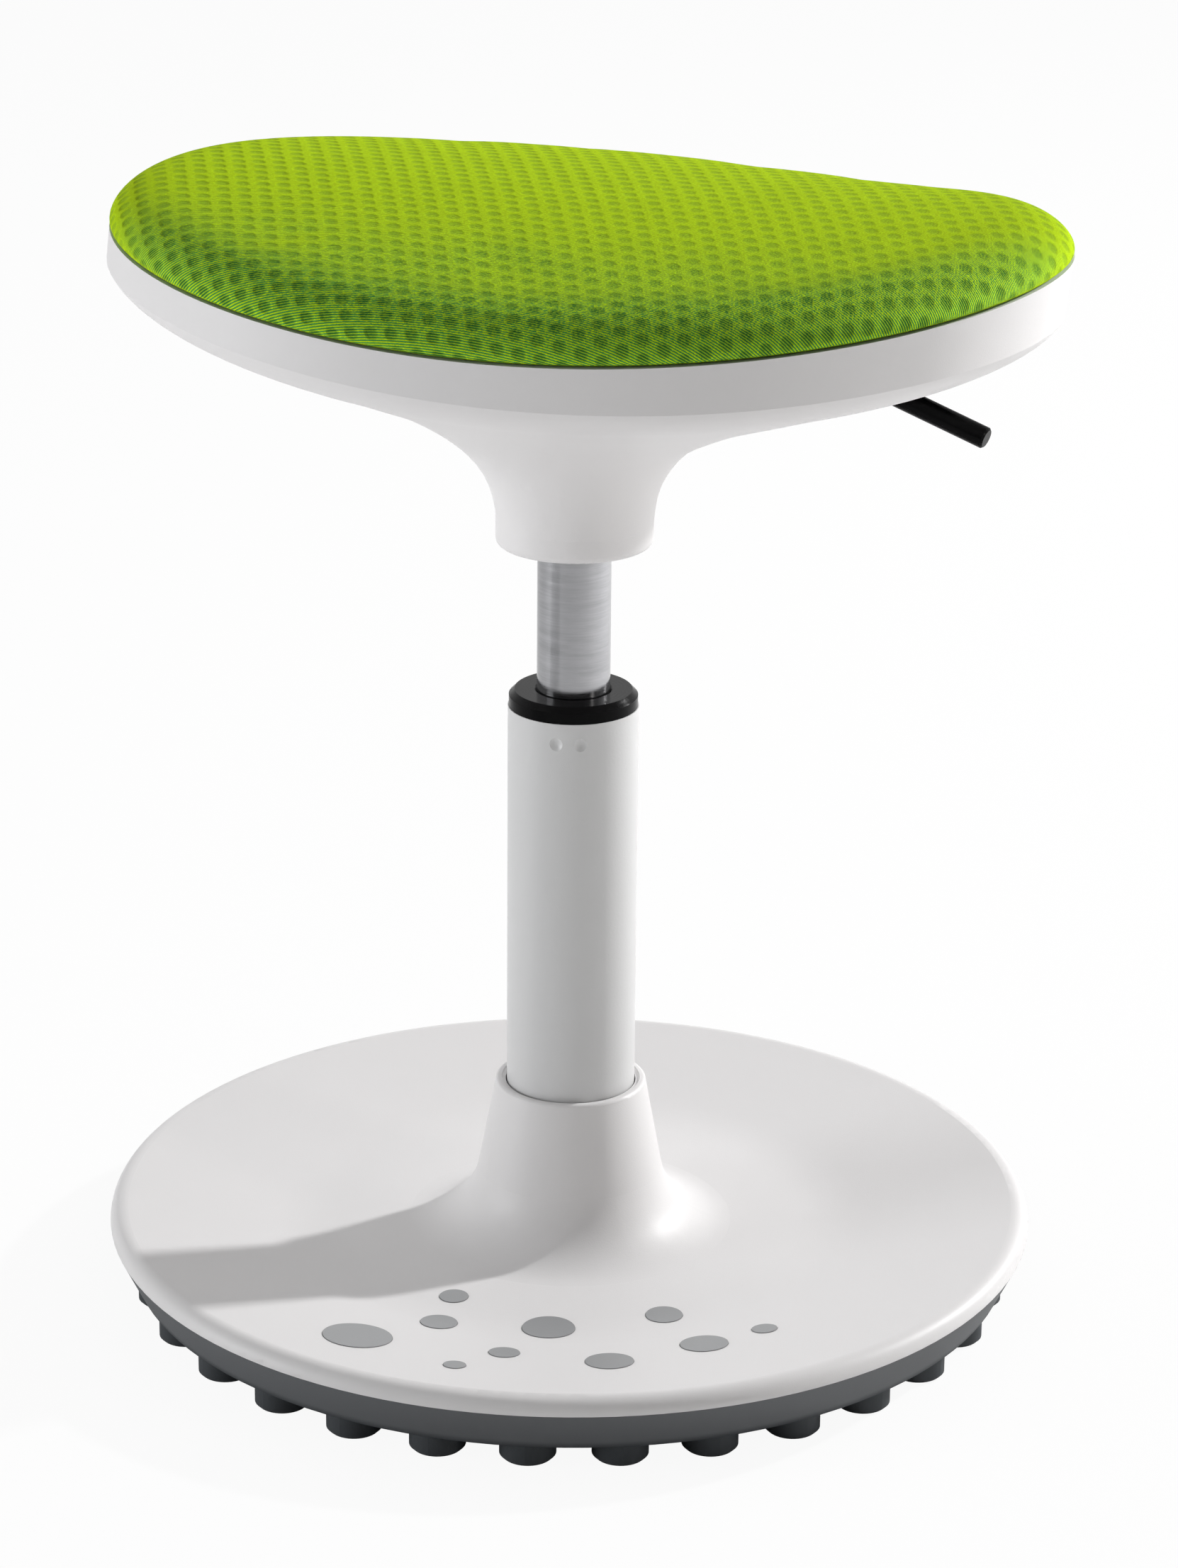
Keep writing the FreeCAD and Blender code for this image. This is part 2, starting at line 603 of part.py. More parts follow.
def make_cover_screws():
    head_z = "(sole_z + screw_sink)"
    top = slope_z("cover_screw_ring_r", "cover_wall / 2") + " - cover_wall / 2"
    return ring_of_screws(
        "cover_screws", "cover_screw_ring_r", "foot_phase", "cover_screw_count",
        ("cover_screw_r", f"{head_z} + cover_screw_head", top),
        ("cover_screw_head_r", head_z, f"{head_z} + cover_screw_head"))


def make_ballast_plate():
    body = turned("ballast_plate", [
        ("access_r", PLATE_Z),
        ("plate_r", PLATE_Z),
        ("plate_r", FLANGE_Z),
        ("access_r", FLANGE_Z),
    ])
    hole = raise_circle(body, "plate_hole", "flange_screw_ring_r", "0", "flange_screw_r + screw_fit",
                        f"{PLATE_Z} - 1", f"{FLANGE_Z} + 1", "Pocket")
    repeat_round(body, [hole], "flange_screw_count", "plate_holes")
    return body


def tube_side(z):
    """Outer radius of the stand tube's tapered foot at a height."""
    return f"(tube_foot_r + (({z}) - tube_bottom_z) * (tube_r - tube_foot_r) / (tube_taper_z - tube_bottom_z))"


def make_column_socket():
    body = turned("column_socket", [
        (tube_side(FLANGE_Z) + " + taper_fit", FLANGE_Z),
        ("flange_r", FLANGE_Z),
        ("flange_r", f"{FLANGE_Z} + flange_thick"),
        ("socket_r + flange_thick / 2", f"{FLANGE_Z} + flange_thick"),
        ("socket_r", f"{FLANGE_Z} + flange_thick * 3 / 2"),
        ("socket_r", "socket_top_z"),
        (tube_side("socket_top_z") + " + taper_fit", "socket_top_z"),
    ])
    hole = raise_circle(body, "flange_hole", "flange_screw_ring_r", "0", "flange_screw_r + screw_fit",
                        f"{FLANGE_Z} - 1", f"{FLANGE_Z} + flange_thick + 1", "Pocket")
    repeat_round(body, [hole], "flange_screw_count", "flange_holes")
    return body


def make_flange_screws():
    head_z = f"({FLANGE_Z} + flange_thick)"
    return ring_of_screws(
        "flange_screws", "flange_screw_ring_r", "0", "flange_screw_count",
        ("flange_screw_r", f"{PLATE_Z} + screw_sink", head_z),
        ("flange_screw_head_r", head_z, f"{head_z} + flange_screw_head"))


def make_stand_tube():
    body = turned("stand_tube", [
        ("rod_end_r + slide_fit", "tube_bottom_z"),
        ("tube_foot_r", "tube_bottom_z"),
        ("tube_r", "tube_taper_z"),
        ("tube_r", "tube_top_z"),
        ("tube_r - tube_wall", "tube_top_z"),
        ("tube_r - tube_wall", "tube_taper_z"),
        ("tube_foot_r - tube_wall", "tube_bottom_z + tube_floor"),
        ("rod_end_r + slide_fit", "tube_bottom_z + tube_floor"),
    ])
    bump_r = "(tube_r - tube_wall - dimple_pin + dimple_pin_r)"
    dent_r = "(tube_r - dimple_depth + dimple_ball_r)"
    for turn in ("dimple_first", "dimple_second"):
        add_ball(body, turn + "_bump", "PartDesign::AdditiveSphere", "dimple_pin_r", bump_r, turn, "dimple_z")
    for turn in ("dimple_first", "dimple_second"):
        add_ball(body, turn + "_dent", "PartDesign::SubtractiveSphere", "dimple_ball_r", dent_r, turn, "dimple_z")
    return body


def add_ball(body, name, kind, radius, at_r, azimuth, z):
    ball = body.newObject(kind, name)
    ball.setExpression("Radius", bound(radius))
    ball.setExpression("Placement.Base.x", bound(f"{at_r} * cos({azimuth})"))
    ball.setExpression("Placement.Base.y", bound(f"{at_r} * sin({azimuth})"))
    ball.setExpression("Placement.Base.z", bound(z))
    return ball


def make_guide_bush():
    bore = "(lift_r + slide_fit)"
    side = "(tube_r - tube_wall - bush_fit)"
    top = "(tube_top_z + bush_flange)"
    return turned("guide_bush", [
        (bore, "bush_bottom_z"),
        (side, "bush_bottom_z"),
        (side, "dimple_z - bush_groove_height / 2"),
        (f"{side} - bush_groove", "dimple_z - bush_groove_height / 2"),
        (f"{side} - bush_groove", "dimple_z + bush_groove_height / 2"),
        (side, "dimple_z + bush_groove_height / 2"),
        (side, "tube_top_z"),
        ("bush_flange_r", "tube_top_z"),
        ("bush_flange_r", f"{top} - bush_bevel"),
        ("bush_flange_r - bush_bevel", top),
        (f"{bore} + bush_mouth", top),
        (bore, f"{top} - bush_mouth"),
    ])


# Thrust bearing under the rod

RACE_Z = "(tube_bottom_z + tube_floor)"
BALL_Z = f"({RACE_Z} + race_height - ball_sink + ball_r)"
UPPER_RACE_Z = f"({BALL_Z} + ball_r - ball_sink)"
SHOULDER_Z = f"({UPPER_RACE_Z} + race_height)"
GROOVE_R = "(ball_r + ball_fit)"
GROOVE_HALF = f"sqrt({GROOVE_R}^2 - (ball_r - ball_sink)^2)"


def make_lower_race():
    face = f"{RACE_Z} + race_height"
    return turned("lower_race", [
        ("rod_end_r + race_play", RACE_Z),
        ("race_r", RACE_Z),
        ("race_r", face),
        (f"ball_ring_r + {GROOVE_HALF}", face),
        (f"ball_ring_r - {GROOVE_HALF}", face, GROOVE_R, -1),
        ("rod_end_r + race_play", face),
    ])


def make_upper_race():
    return turned("upper_race", [
        ("rod_end_r + screw_fit", UPPER_RACE_Z),
        (f"ball_ring_r - {GROOVE_HALF}", UPPER_RACE_Z),
        (f"ball_ring_r + {GROOVE_HALF}", UPPER_RACE_Z, GROOVE_R, -1),
        ("race_r", UPPER_RACE_Z),
        ("race_r", SHOULDER_Z),
        ("rod_end_r + screw_fit", SHOULDER_Z),
    ])


def make_ball_cage():
    low, high = f"{BALL_Z} - cage_height / 2", f"{BALL_Z} + cage_height / 2"
    inner, outer = "ball_ring_r - ball_r - cage_margin", "ball_ring_r + ball_r + cage_margin"
    body = turned("ball_cage", [(inner, low), (outer, low), (outer, high), (inner, high)])
    hole = raise_circle(body, "cage_hole", "ball_ring_r", "0", GROOVE_R, low + " - 1", high + " + 1", "Pocket")
    repeat_round(body, [hole], "ball_count", "cage_holes")
    return body


def make_bearing_balls():
    body = new_body("bearing_balls")
    body.AllowCompound = True
    ball = add_ball(body, "bearing_ball", "PartDesign::AdditiveSphere", "ball_r", "ball_ring_r", "0", BALL_Z)
    repeat_round(body, [ball], "ball_count", "ball_ring")
    return body


# Gas lift

def make_piston_rod():
    return turned("piston_rod", [
        ("0", "rod_end_z"),
        ("rod_end_r - rod_bevel", "rod_end_z"),
        ("rod_end_r", "rod_end_z + rod_bevel"),
        ("rod_end_r", "clip_z"),
        ("clip_groove_r", "clip_z"),
        ("clip_groove_r", "clip_z + clip_height"),
        ("rod_end_r", "clip_z + clip_height"),
        ("rod_end_r", SHOULDER_Z),
        ("rod_r", SHOULDER_Z),
        ("rod_r", "rod_top_z - piston_height"),
        ("rod_r - rod_bevel", "rod_top_z - piston_height"),
        ("rod_r - rod_bevel", "rod_top_z"),
        ("0", "rod_top_z"),
    ])


def make_rod_clip():
    low, high = "clip_z + screw_fit", "clip_z + clip_height - screw_fit"
    body = turned("rod_clip", [
        ("clip_groove_r + screw_fit", low),
        ("clip_r", low),
        ("clip_r", high),
        ("clip_groove_r + screw_fit", high),
    ])
    sketch = new_sketch(body, "clip_opening", "XY_Plane", high + " + 1")
    half = "clip_groove_r * 0.8"
    outline(sketch, [("0", f"-{half}"), ("clip_r + 1", f"-{half}"), ("clip_r + 1", half), ("0", half)])
    cut = body.newObject("PartDesign::Pocket", "clip_cut")
    cut.Profile = (sketch, [""])
    cut.setExpression("Length", bound("clip_height + 2"))
    return body


def make_clip_washer():
    low, high = "clip_z + clip_height", "tube_bottom_z - screw_fit"
    inner = "rod_end_r + screw_fit"
    return turned("clip_washer", [(inner, low), ("washer_r", low), ("washer_r", high), (inner, high)])


def make_bumper():
    bore = "rod_r + screw_fit"
    top = f"({SHOULDER_Z} + bumper_height)"
    return turned("bumper", [
        (bore, SHOULDER_Z),
        ("bumper_r", SHOULDER_Z),
        ("bumper_r", f"{SHOULDER_Z} + bumper_height / 2"),
        ("bumper_r - bumper_height / 4", top),
        (bore, top),
    ])


def make_piston():
    side = "(cylinder_bore_r - slide_fit)"
    groove = f"{side} - ring_depth"
    middle = "(rod_top_z - piston_height / 2)"
    bore = "rod_r - rod_bevel + screw_fit"
    return turned("piston", [
        (bore, "rod_top_z - piston_height"),
        (side, "rod_top_z - piston_height"),
        (side, f"{middle} - ring_height / 2"),
        (groove, f"{middle} - ring_height / 2"),
        (groove, f"{middle} + ring_height / 2"),
        (side, f"{middle} + ring_height / 2"),
        (side, "rod_top_z"),
        (bore, "rod_top_z"),
    ])


def make_piston_ring():
    inner = "cylinder_bore_r - slide_fit - ring_depth + screw_fit"
    outer = "cylinder_bore_r - slide_fit / 2"
    low = "rod_top_z - piston_height / 2 - ring_height / 2 + screw_fit"
    high = "rod_top_z - piston_height / 2 + ring_height / 2 - screw_fit"
    return turned("piston_ring", [(inner, low), (outer, low), (outer, high), (inner, high)])


def lift_side(z):
    """Outer radius of the pressure tube's upper taper at a height."""
    return f"(lift_r - (({z}) - lift_taper_z) * tan(lift_taper))"


GUIDE_Z = "(lift_bottom_z + lift_roll)"
GUIDE_TOP_Z = f"({GUIDE_Z} + guide_height)"
BUTTON_TOP_Z = "(lever_z - lever_r - lever_gap)"


def make_pressure_tube():
    return turned("pressure_tube", [
        ("lift_mouth_r", "lift_bottom_z"),
        ("lift_r - lift_roll", "lift_bottom_z"),
        ("lift_r", GUIDE_Z, "lift_roll", 1),
        ("lift_r", "lift_taper_z"),
        (lift_side("lift_top_z"), "lift_top_z"),
        ("button_r + button_play", "lift_top_z"),
        ("button_r + button_play", "lift_top_z - lift_roll"),
        ("lift_bore_r", "lift_top_z - lift_roll"),
        ("lift_bore_r", GUIDE_Z),
        ("lift_mouth_r", GUIDE_Z),
    ])


def make_inner_cylinder():
    inner, outer = "cylinder_bore_r", "cylinder_r"
    low, high = GUIDE_TOP_Z, "valve_bottom_z"
    return turned("inner_cylinder", [(inner, low), (outer, low), (outer, high), (inner, high)])


def make_rod_guide():
    side = "lift_bore_r - screw_fit"
    return turned("rod_guide", [
        ("rod_r + slide_fit", GUIDE_Z),
        (side, GUIDE_Z),
        (side, GUIDE_TOP_Z),
        ("seal_r", GUIDE_TOP_Z),
        ("seal_r", f"{GUIDE_TOP_Z} - seal_height"),
        ("rod_r + slide_fit", f"{GUIDE_TOP_Z} - seal_height"),
    ])


def make_rod_seal():
    inner, outer = "rod_r + slide_fit", "seal_r - screw_fit"
    low, high = f"{GUIDE_TOP_Z} - seal_height", f"{GUIDE_TOP_Z} - screw_fit"
    return turned("rod_seal", [(inner, low), (outer, low), (outer, high), (inner, high)])


def make_valve_block():
    side = "lift_bore_r - screw_fit"
    top = "lift_top_z - lift_roll"
    floor_z = "button_neck_z - valve_spring_room"
    return turned("valve_block", [
        ("button_stem_r + slide_fit", "valve_bottom_z"),
        (side, "valve_bottom_z"),
        (side, top),
        ("button_r + slide_fit", top),
        ("button_r + slide_fit", floor_z),
        ("button_stem_r + slide_fit", floor_z),
    ])


def make_release_button():
    return turned("release_button", [
        ("0", "button_stem_z"),
        ("button_stem_r", "button_stem_z"),
        ("button_stem_r", "button_neck_z"),
        ("button_r", "button_neck_z"),
        ("button_r", f"{BUTTON_TOP_Z} - button_bevel"),
        ("button_r - button_bevel", BUTTON_TOP_Z),
        ("0", BUTTON_TOP_Z),
    ])


def make_valve_spring():
    """A coil between the valve block's floor and the button's neck."""
    wire = size("spring_wire_r")
    low = size("button_neck_z - valve_spring_room") + wire + size("screw_fit")
    high = size("button_neck_z") - wire - size("screw_fit")
    height = high - low
    coil = Part.makeHelix(height / size("spring_turns"), height, size("spring_r"))
    start = Part.Wire([Part.makeCircle(wire, Vector(size("spring_r"), 0, 0), Vector(0, 1, 0))])
    shape = Part.Wire(coil).makePipeShell([start], True, True)
    spring = doc.addObject("Part::Feature", "valve_spring")
    spring.Shape = shape
    spring.Placement = Placement(Vector(0, 0, low), Rotation())
    return spring


# Seat bracket and lever, drawn along +X and turned to the lever's direction

BOLT_PLACES = [(f"{x} * bolt_x", f"{y} * bolt_y") for x in (1, -1) for y in (1, -1)]


def face_the_lever(item):
    item.Placement = Placement(Vector(), Rotation(Vector(0, 0, 1), size("lever_azimuth")))
    return item


def lever_body(label):
    body = new_body(label)
    face_the_lever(body)
    body.AllowCompound = True
    return body


def raise_circles(body, name, places, radii, bottom, top, kind="Pad"):
    """Round pads or pockets at several places, with a bore where two radii are given."""
    sketch = new_sketch(body, name + "_circles", "XY_Plane", bottom if kind == "Pad" else top)
    for place in places:
        for radius in radii:
            ring_of_circle(sketch, *place, radius)
    feature = body.newObject("PartDesign::" + kind, name)
    feature.Profile = (sketch, [""])
    feature.setExpression("Length", bound(f"({top}) - ({bottom})"))
    return feature


def make_seat_bracket():
    body = lever_body("seat_bracket")
    sketch = new_sketch(body, "bracket_section", "YZ_Plane")
    half, wide = "bracket_width / 2", "bracket_wide / 2"
    under_z = "bracket_top_z - bracket_sheet"
    outline(sketch, [
        (f"-{half}", "bracket_web_z"),
        (half, "bracket_web_z"),
        (half, under_z),
        (wide, under_z),
        (wide, "bracket_top_z"),
        (f"{half} - bracket_sheet", "bracket_top_z"),
        (f"{half} - bracket_sheet", "bracket_web_z + bracket_sheet"),
        (f"bracket_sheet - {half}", "bracket_web_z + bracket_sheet"),
        (f"bracket_sheet - {half}", "bracket_top_z"),
        (f"-{wide}", "bracket_top_z"),
        (f"-{wide}", under_z),
        (f"-{half}", under_z),
    ])
    channel = body.newObject("PartDesign::Pad", "channel")
    channel.Profile = (sketch, [""])
    channel.SideType = "Symmetric"
    channel.setExpression("Length", bound("bracket_length"))
    raise_circles(body, "cone_hole", [("0", "0")], ["cone_r + taper_fit"],
                  "bracket_web_z - 1", "bracket_web_z + bracket_sheet + 1", "Pocket")
    raise_circles(body, "bolt_holes", BOLT_PLACES, ["bolt_r + screw_fit"],
                  under_z + " - 1", "bracket_top_z + 1", "Pocket")
    side_hole(body, "pin_hole", "pivot_at", "lever_z", "pivot_r + screw_fit", "bracket_wide")
    return body


def side_hole(body, name, x, z, radius, length):
    sketch = new_sketch(body, name + "_circle", "XZ_Plane")
    ring_of_circle(sketch, x, z, radius)
    hole = body.newObject("PartDesign::Pocket", name)
    hole.Profile = (sketch, [""])
    hole.SideType = "Symmetric"
    hole.setExpression("Length", bound(length))
    return hole


def make_taper_socket():
    return turned("taper_socket", [
        (lift_side("cone_bottom_z") + " + taper_fit", "cone_bottom_z"),
        ("cone_r", "cone_bottom_z"),
        ("cone_r", "cone_top_z"),
        (lift_side("cone_top_z") + " + taper_fit", "cone_top_z"),
    ])


def make_bracket_bolts():
    body = lever_body("bracket_bolts")
    under_z = "bracket_top_z - bracket_sheet"
    raise_circles(body, "bolt_head", BOLT_PLACES, ["bolt_head_r"], f"{under_z} - bolt_head", under_z)
    raise_circles(body, "bolt_shank", BOLT_PLACES, ["bolt_r"], under_z, "bracket_top_z + bolt_grip")
    return body


def make_pan_inserts():
    body = lever_body("pan_inserts")
    raise_circles(body, "insert", BOLT_PLACES, ["insert_r", "bolt_r + screw_fit"],
                  "bracket_top_z", "bracket_top_z + insert_height")
    return body


def make_lever_pin():
    body = lever_body("lever_pin")
    sketch = new_sketch(body, "pin_outline", "XY_Plane", "lever_z")
    half = "bracket_width / 2 + screw_fit"
    end = f"{half} + pivot_head"
    outline(sketch, [
        ("pivot_at", f"-({end})"),
        ("pivot_at + pivot_head_r", f"-({end})"),
        ("pivot_at + pivot_head_r", f"-({half})"),
        ("pivot_at + pivot_r", f"-({half})"),
        ("pivot_at + pivot_r", half),
        ("pivot_at + pivot_head_r", half),
        ("pivot_at + pivot_head_r", end),
        ("pivot_at", end),
    ])
    spin(body, sketch, "pin", "pivot_at")
    return body


LEVER_END = ("lever_reach", "0", "lever_z - (lever_reach - lever_bend_at) * tan(lever_drop)")


def make_release_lever():
    body = lever_body("release_lever")
    bend = "lever_bend_r * tan(lever_drop / 2)"
    path = new_sketch(body, "lever_path", "XZ_Plane")
    outline(path, [
        ("lever_inner", "lever_z"),
        (f"lever_bend_at - {bend}", "lever_z"),
        (f"lever_bend_at + {bend} * cos(lever_drop)", f"lever_z - {bend} * sin(lever_drop)",
         "lever_bend_r", -1),
        (LEVER_END[0], LEVER_END[2]),
    ], closed=False)
    section = new_sketch(body, "lever_section", "YZ_Plane", "lever_inner")
    ring_of_circle(section, "0", "lever_z", "lever_r")
    doc.recompute()
    rod = body.newObject("PartDesign::AdditivePipe", "rod")
    rod.Profile = (section, [""])
    rod.Spine = (path, ["Edge1", "Edge2", "Edge3"])
    side_hole(body, "lever_hole", "pivot_at", "lever_z", "pivot_r + slide_fit", "bracket_width")
    tip = body.newObject("PartDesign::AdditiveCone", "lever_tip")
    tip.setExpression("Radius1", bound("lever_r"))
    tip.setExpression("Radius2", bound("lever_r - lever_edge"))
    tip.setExpression("Height", bound("lever_edge"))
    tip.Placement = Placement(Vector(*[size(place) for place in LEVER_END]), Rotation(Vector(0, 1, 0), 90))
    tip.setExpression("Placement.Base.x", bound(LEVER_END[0]))
    tip.setExpression("Placement.Base.z", bound(LEVER_END[2]))
    tip.setExpression("Placement.Rotation.Angle", bound("90 + lever_drop"))
    return body


# Seat surfaces: waves round the seat give the radius and the height

CENTRE = Vector(size("seat_x"), size("seat_y"), 0)
RING_POINTS = 30
SADDLE_PARTS = (0.7, 0.35)
AZIMUTHS = [360 * number / RING_POINTS for number in range(RING_POINTS)]


def wave(name, lobes, azimuth, turn=None):
    phase = size(turn or name + "_turn")
    return size(name) * math.cos(math.radians(lobes * (azimuth - phase)))


def seat_radius(azimuth):
    return size("seat_r") - wave("seat_oval", 2, azimuth) - wave("seat_lobe", 3, azimuth)


def seat_rise(azimuth, part):
    """Height of the seat's saddle at a share of its radius; the middle is a flat tilted disc."""
    rise = size("seat_z") + part * wave("seat_tilt", 1, azimuth)
    return rise + part**2 * wave("seat_saddle", 2, azimuth) + part**3 * wave("seat_twist", 3, azimuth)


def around(azimuth, radius, z, centre=CENTRE):
    angle = math.radians(azimuth)
    return Vector(centre.x + radius * math.cos(angle), centre.y + radius * math.sin(angle), z)


def seat_point(azimuth, part, lift=0, inset=0):
    return around(azimuth, seat_radius(azimuth) * part - inset, seat_rise(azimuth, part) + lift)


def cap_point(azimuth, lift=0):
    part = size("seat_cap")
    tilt = size("seat_z") + part * wave("seat_tilt", 1, azimuth)
    return around(azimuth, size("seat_r") * part, tilt + lift)


def ring(point):
    """A closed smooth curve through a point function of the azimuth."""
    curve = Part.BSplineCurve()
    curve.interpolate(Points=[point(azimuth) for azimuth in AZIMUTHS], PeriodicFlag=True)
    return Part.Wire([curve.toShape()])


def closed_body(stretches):
    """A solid from stretches of rings; neighbours share a ring and both ends are flat."""
    faces = [Part.Face(stretches[0][0]), Part.Face(stretches[-1][-1])]
    for rings in stretches:
        faces += Part.makeLoft(rings, False, len(rings) == 2).Faces
    skin = Part.Compound(faces)
    skin.sewShape(0.01)
    if not skin.Shells[0].isClosed():
        raise RuntimeError("a body's skin is open")
    solid = Part.Solid(skin.Shells[0])
    if solid.Volume < 0:
        solid.reverse()
    return solid


def saddle_rings(lift, parts):
    """Rings of the saddle surface from its edge inward, ending in the flat middle."""
    rings = [ring(lambda azimuth, part=part: seat_point(azimuth, part, lift)) for part in parts]
    return rings + [ring(lambda azimuth: cap_point(azimuth, lift))]


def band_lean(azimuth):
    return size("band_lean") + wave("band_lean_more", 1, azimuth, "band_lean_turn")


def band_height(azimuth):
    return size("band_height") + wave("band_more", 1, azimuth, "band_turn")


def band_foot(azimuth, inset):
    radius = seat_radius(azimuth) + size("shell_out") - inset - band_lean(azimuth)
    return around(azimuth, radius, seat_rise(azimuth, 1) - band_height(azimuth))


def bowl_point(azimuth, inset, step):
    """The bowl's curve from the band's foot (step 0) to the neck's flare (step 1)."""
    sweep = math.radians(size("neck_flare"))
    along = Vector(math.sin(sweep), 0, math.cos(sweep))
    reach = size("bowl_reach") - wave("bowl_reach_less", 1, azimuth, "band_lean_turn")
    foot = band_foot(azimuth, inset)
    drop = Vector(0, 0, size("bowl_drop") - inset)
    neck = flare_place(inset, 1)
    lead = neck + along * reach
    neck_point = around(azimuth, neck.x, neck.z, Vector())
    lead_point = around(azimuth, lead.x, lead.z, Vector())
    weights = [math.comb(3, power) * step**power * (1 - step) ** (3 - power) for power in range(4)]
    total = Vector()
    for weight, point in zip(weights, (foot, foot - drop, lead_point, neck_point)):
        total += point * weight
    return total


def flare_place(inset, step):
    """Radius and height on the neck's flare, from upright (step 0) to the bowl (step 1)."""
    bend = size("neck_flare_r") + inset
    sweep = math.radians(size("neck_flare")) * step
    radius = size("neck_r") - inset + bend * (1 - math.cos(sweep))
    return Vector(radius, 0, size("neck_z") + bend * math.sin(sweep))


def upright_ring(radius, z):
    return ring(lambda azimuth: around(azimuth, radius, z, Vector()))


def bowl_rings(inset):
    steps = (0, 0.12, 0.3, 0.5, 0.7, 0.88, 1)
    rings = [ring(lambda azimuth, step=step: bowl_point(azimuth, inset, step)) for step in steps]
    places = [flare_place(inset, step) for step in (0.66, 0.33, 0)]
    return rings + [upright_ring(place.x, place.z) for place in places]


def shell_outside():
    rim = ring(lambda azimuth: seat_point(azimuth, 1, 0, -size("shell_out")))
    bowl = bowl_rings(0)
    edge = size("neck_edge")
    low = size("neck_bottom_z")
    straight = upright_ring(size("neck_r"), low + edge)
    corner = [upright_ring(size("neck_r") - edge * (1 - math.cos(turn)), low + edge * (1 - math.sin(turn)))
              for turn in (math.pi / 6, math.pi / 3, math.pi / 2)]
    top = saddle_rings(0, SADDLE_PARTS)
    return closed_body([top[::-1] + [rim], [rim, bowl[0]], bowl, [bowl[-1], straight], [straight] + corner])


def shell_inside():
    """The room inside the shell, open past the rim and past the neck."""
    wall = size("shell_wall")
    rim = ring(lambda azimuth: seat_point(azimuth, 1, wall, wall - size("shell_out")))
    bowl = bowl_rings(wall)
    end = upright_ring(size("neck_r") - wall, size("neck_bottom_z") - wall)
    top = saddle_rings(wall, SADDLE_PARTS)
    return closed_body([top[::-1] + [rim], [rim, bowl[0]], bowl, [bowl[-1], end]])


def boss_places():
    """Axis point and lowest height of the seat's underside line at each shell screw."""
    places = []
    count = round(size("shell_screw_count"))
    for number in range(count):
        azimuth = size("shell_screw_turn") + 360 * number / count
        part = size("shell_screw_at")
        spot = seat_point(azimuth, part)
        spread = size("shell_boss_r") / seat_radius(azimuth)
        # In degrees, the swing reaches a little past the boss's side
        swing = 60 * spread
        low = min(seat_rise(azimuth + turn, part + shift)
                  for turn in (-swing, 0, swing) for shift in (-spread, spread))
        places.append(Vector(spot.x, spot.y, low))
    return places


def post(place, radius, bottom, top):
    return Part.makeCylinder(radius, top - bottom, Vector(place.x, place.y, bottom))


def slot_prism(width, bottom, top, start, end):
    """A long hole with round top and bottom, cut along the lever's direction."""
    round_r = width / 2
    low, high = Vector(start, 0, bottom + round_r), Vector(start, 0, top - round_r)
    side, up = Vector(0, round_r, 0), Vector(0, 0, round_r)
    edges = [
        Part.Arc(low - side, low - up, low + side).toShape(),
        Part.makeLine(low + side, high + side),
        Part.Arc(high + side, high + up, high - side).toShape(),
        Part.makeLine(high - side, low - side),
    ]
    prism = Part.Face(Part.Wire(edges)).extrude(Vector(end - start, 0, 0))
    prism.rotate(Vector(), Vector(0, 0, 1), size("lever_azimuth"))
    return prism


def add_shape(label, shape):
    item = doc.addObject("Part::Feature", label)
    item.Shape = shape
    item.Placement = Placement()
    return item


def make_seat_shell():
    outside = shell_outside()
    shell = outside.cut(shell_inside())
    boss_r = size("shell_boss_r")
    sink = size("pan_thick + pan_gap")
    for place in boss_places():
        top = place.z - sink
        boss = post(place, boss_r, size("neck_z"), top).common(outside)
        hole = post(place, size("shell_screw_r + screw_fit"), top - size("shell_screw_reach + 1"), top + 1)
        shell = shell.fuse(boss).cut(hole)
    slot = [size("slot_" + name) for name in ("width", "bottom_z", "top_z", "from", "to")]
    return add_shape("seat_shell", shell.cut(slot_prism(*slot)))


def pan_edge(azimuth, depth):
    """The pan's edge at a depth below its top, beside the leaning wall of the shell."""
    wall = size("shell_wall")
    lean = band_lean(azimuth) * (depth + wall) / (band_height(azimuth) + wall)
    return seat_point(azimuth, 1, -depth, wall + size("pan_gap") - size("shell_out") + lean)


def make_seat_pan():
    thick = size("pan_thick")
    top_edge = ring(lambda azimuth: pan_edge(azimuth, 0))
    low_edge = ring(lambda azimuth: pan_edge(azimuth, thick))
    top = saddle_rings(0, SADDLE_PARTS)
    low = saddle_rings(-thick, SADDLE_PARTS)
    pan = closed_body([low[::-1] + [low_edge], [low_edge, top_edge], [top_edge] + top])
    pan = pan_boss().fuse(pan)
    for place in boss_places():
        pan = pan.cut(post(place, size("shell_screw_r + pan_gap"), place.z - 2 * thick, place.z + thick))
        floor_z = place.z - size("pan_sink + shell_screw_head")
        pan = pan.cut(post(place, size("shell_screw_head_r + pan_gap"), floor_z, place.z + thick))
    turn = Rotation(Vector(0, 0, 1), size("lever_azimuth"))
    for x, y in BOLT_PLACES:
        spot = turn.multVec(Vector(size(x), size(y), 0))
        bottom = size("bracket_top_z") - 1
        insert_end = size("bracket_top_z + insert_height + screw_fit")
        bolt_end = size("bracket_top_z + bolt_grip + pan_gap")
        pan = pan.cut(post(spot, size("insert_r + screw_fit"), bottom, insert_end))
        pan = pan.cut(post(spot, size("bolt_r + pan_gap"), bottom, bolt_end))
    return add_shape("seat_pan", pan)


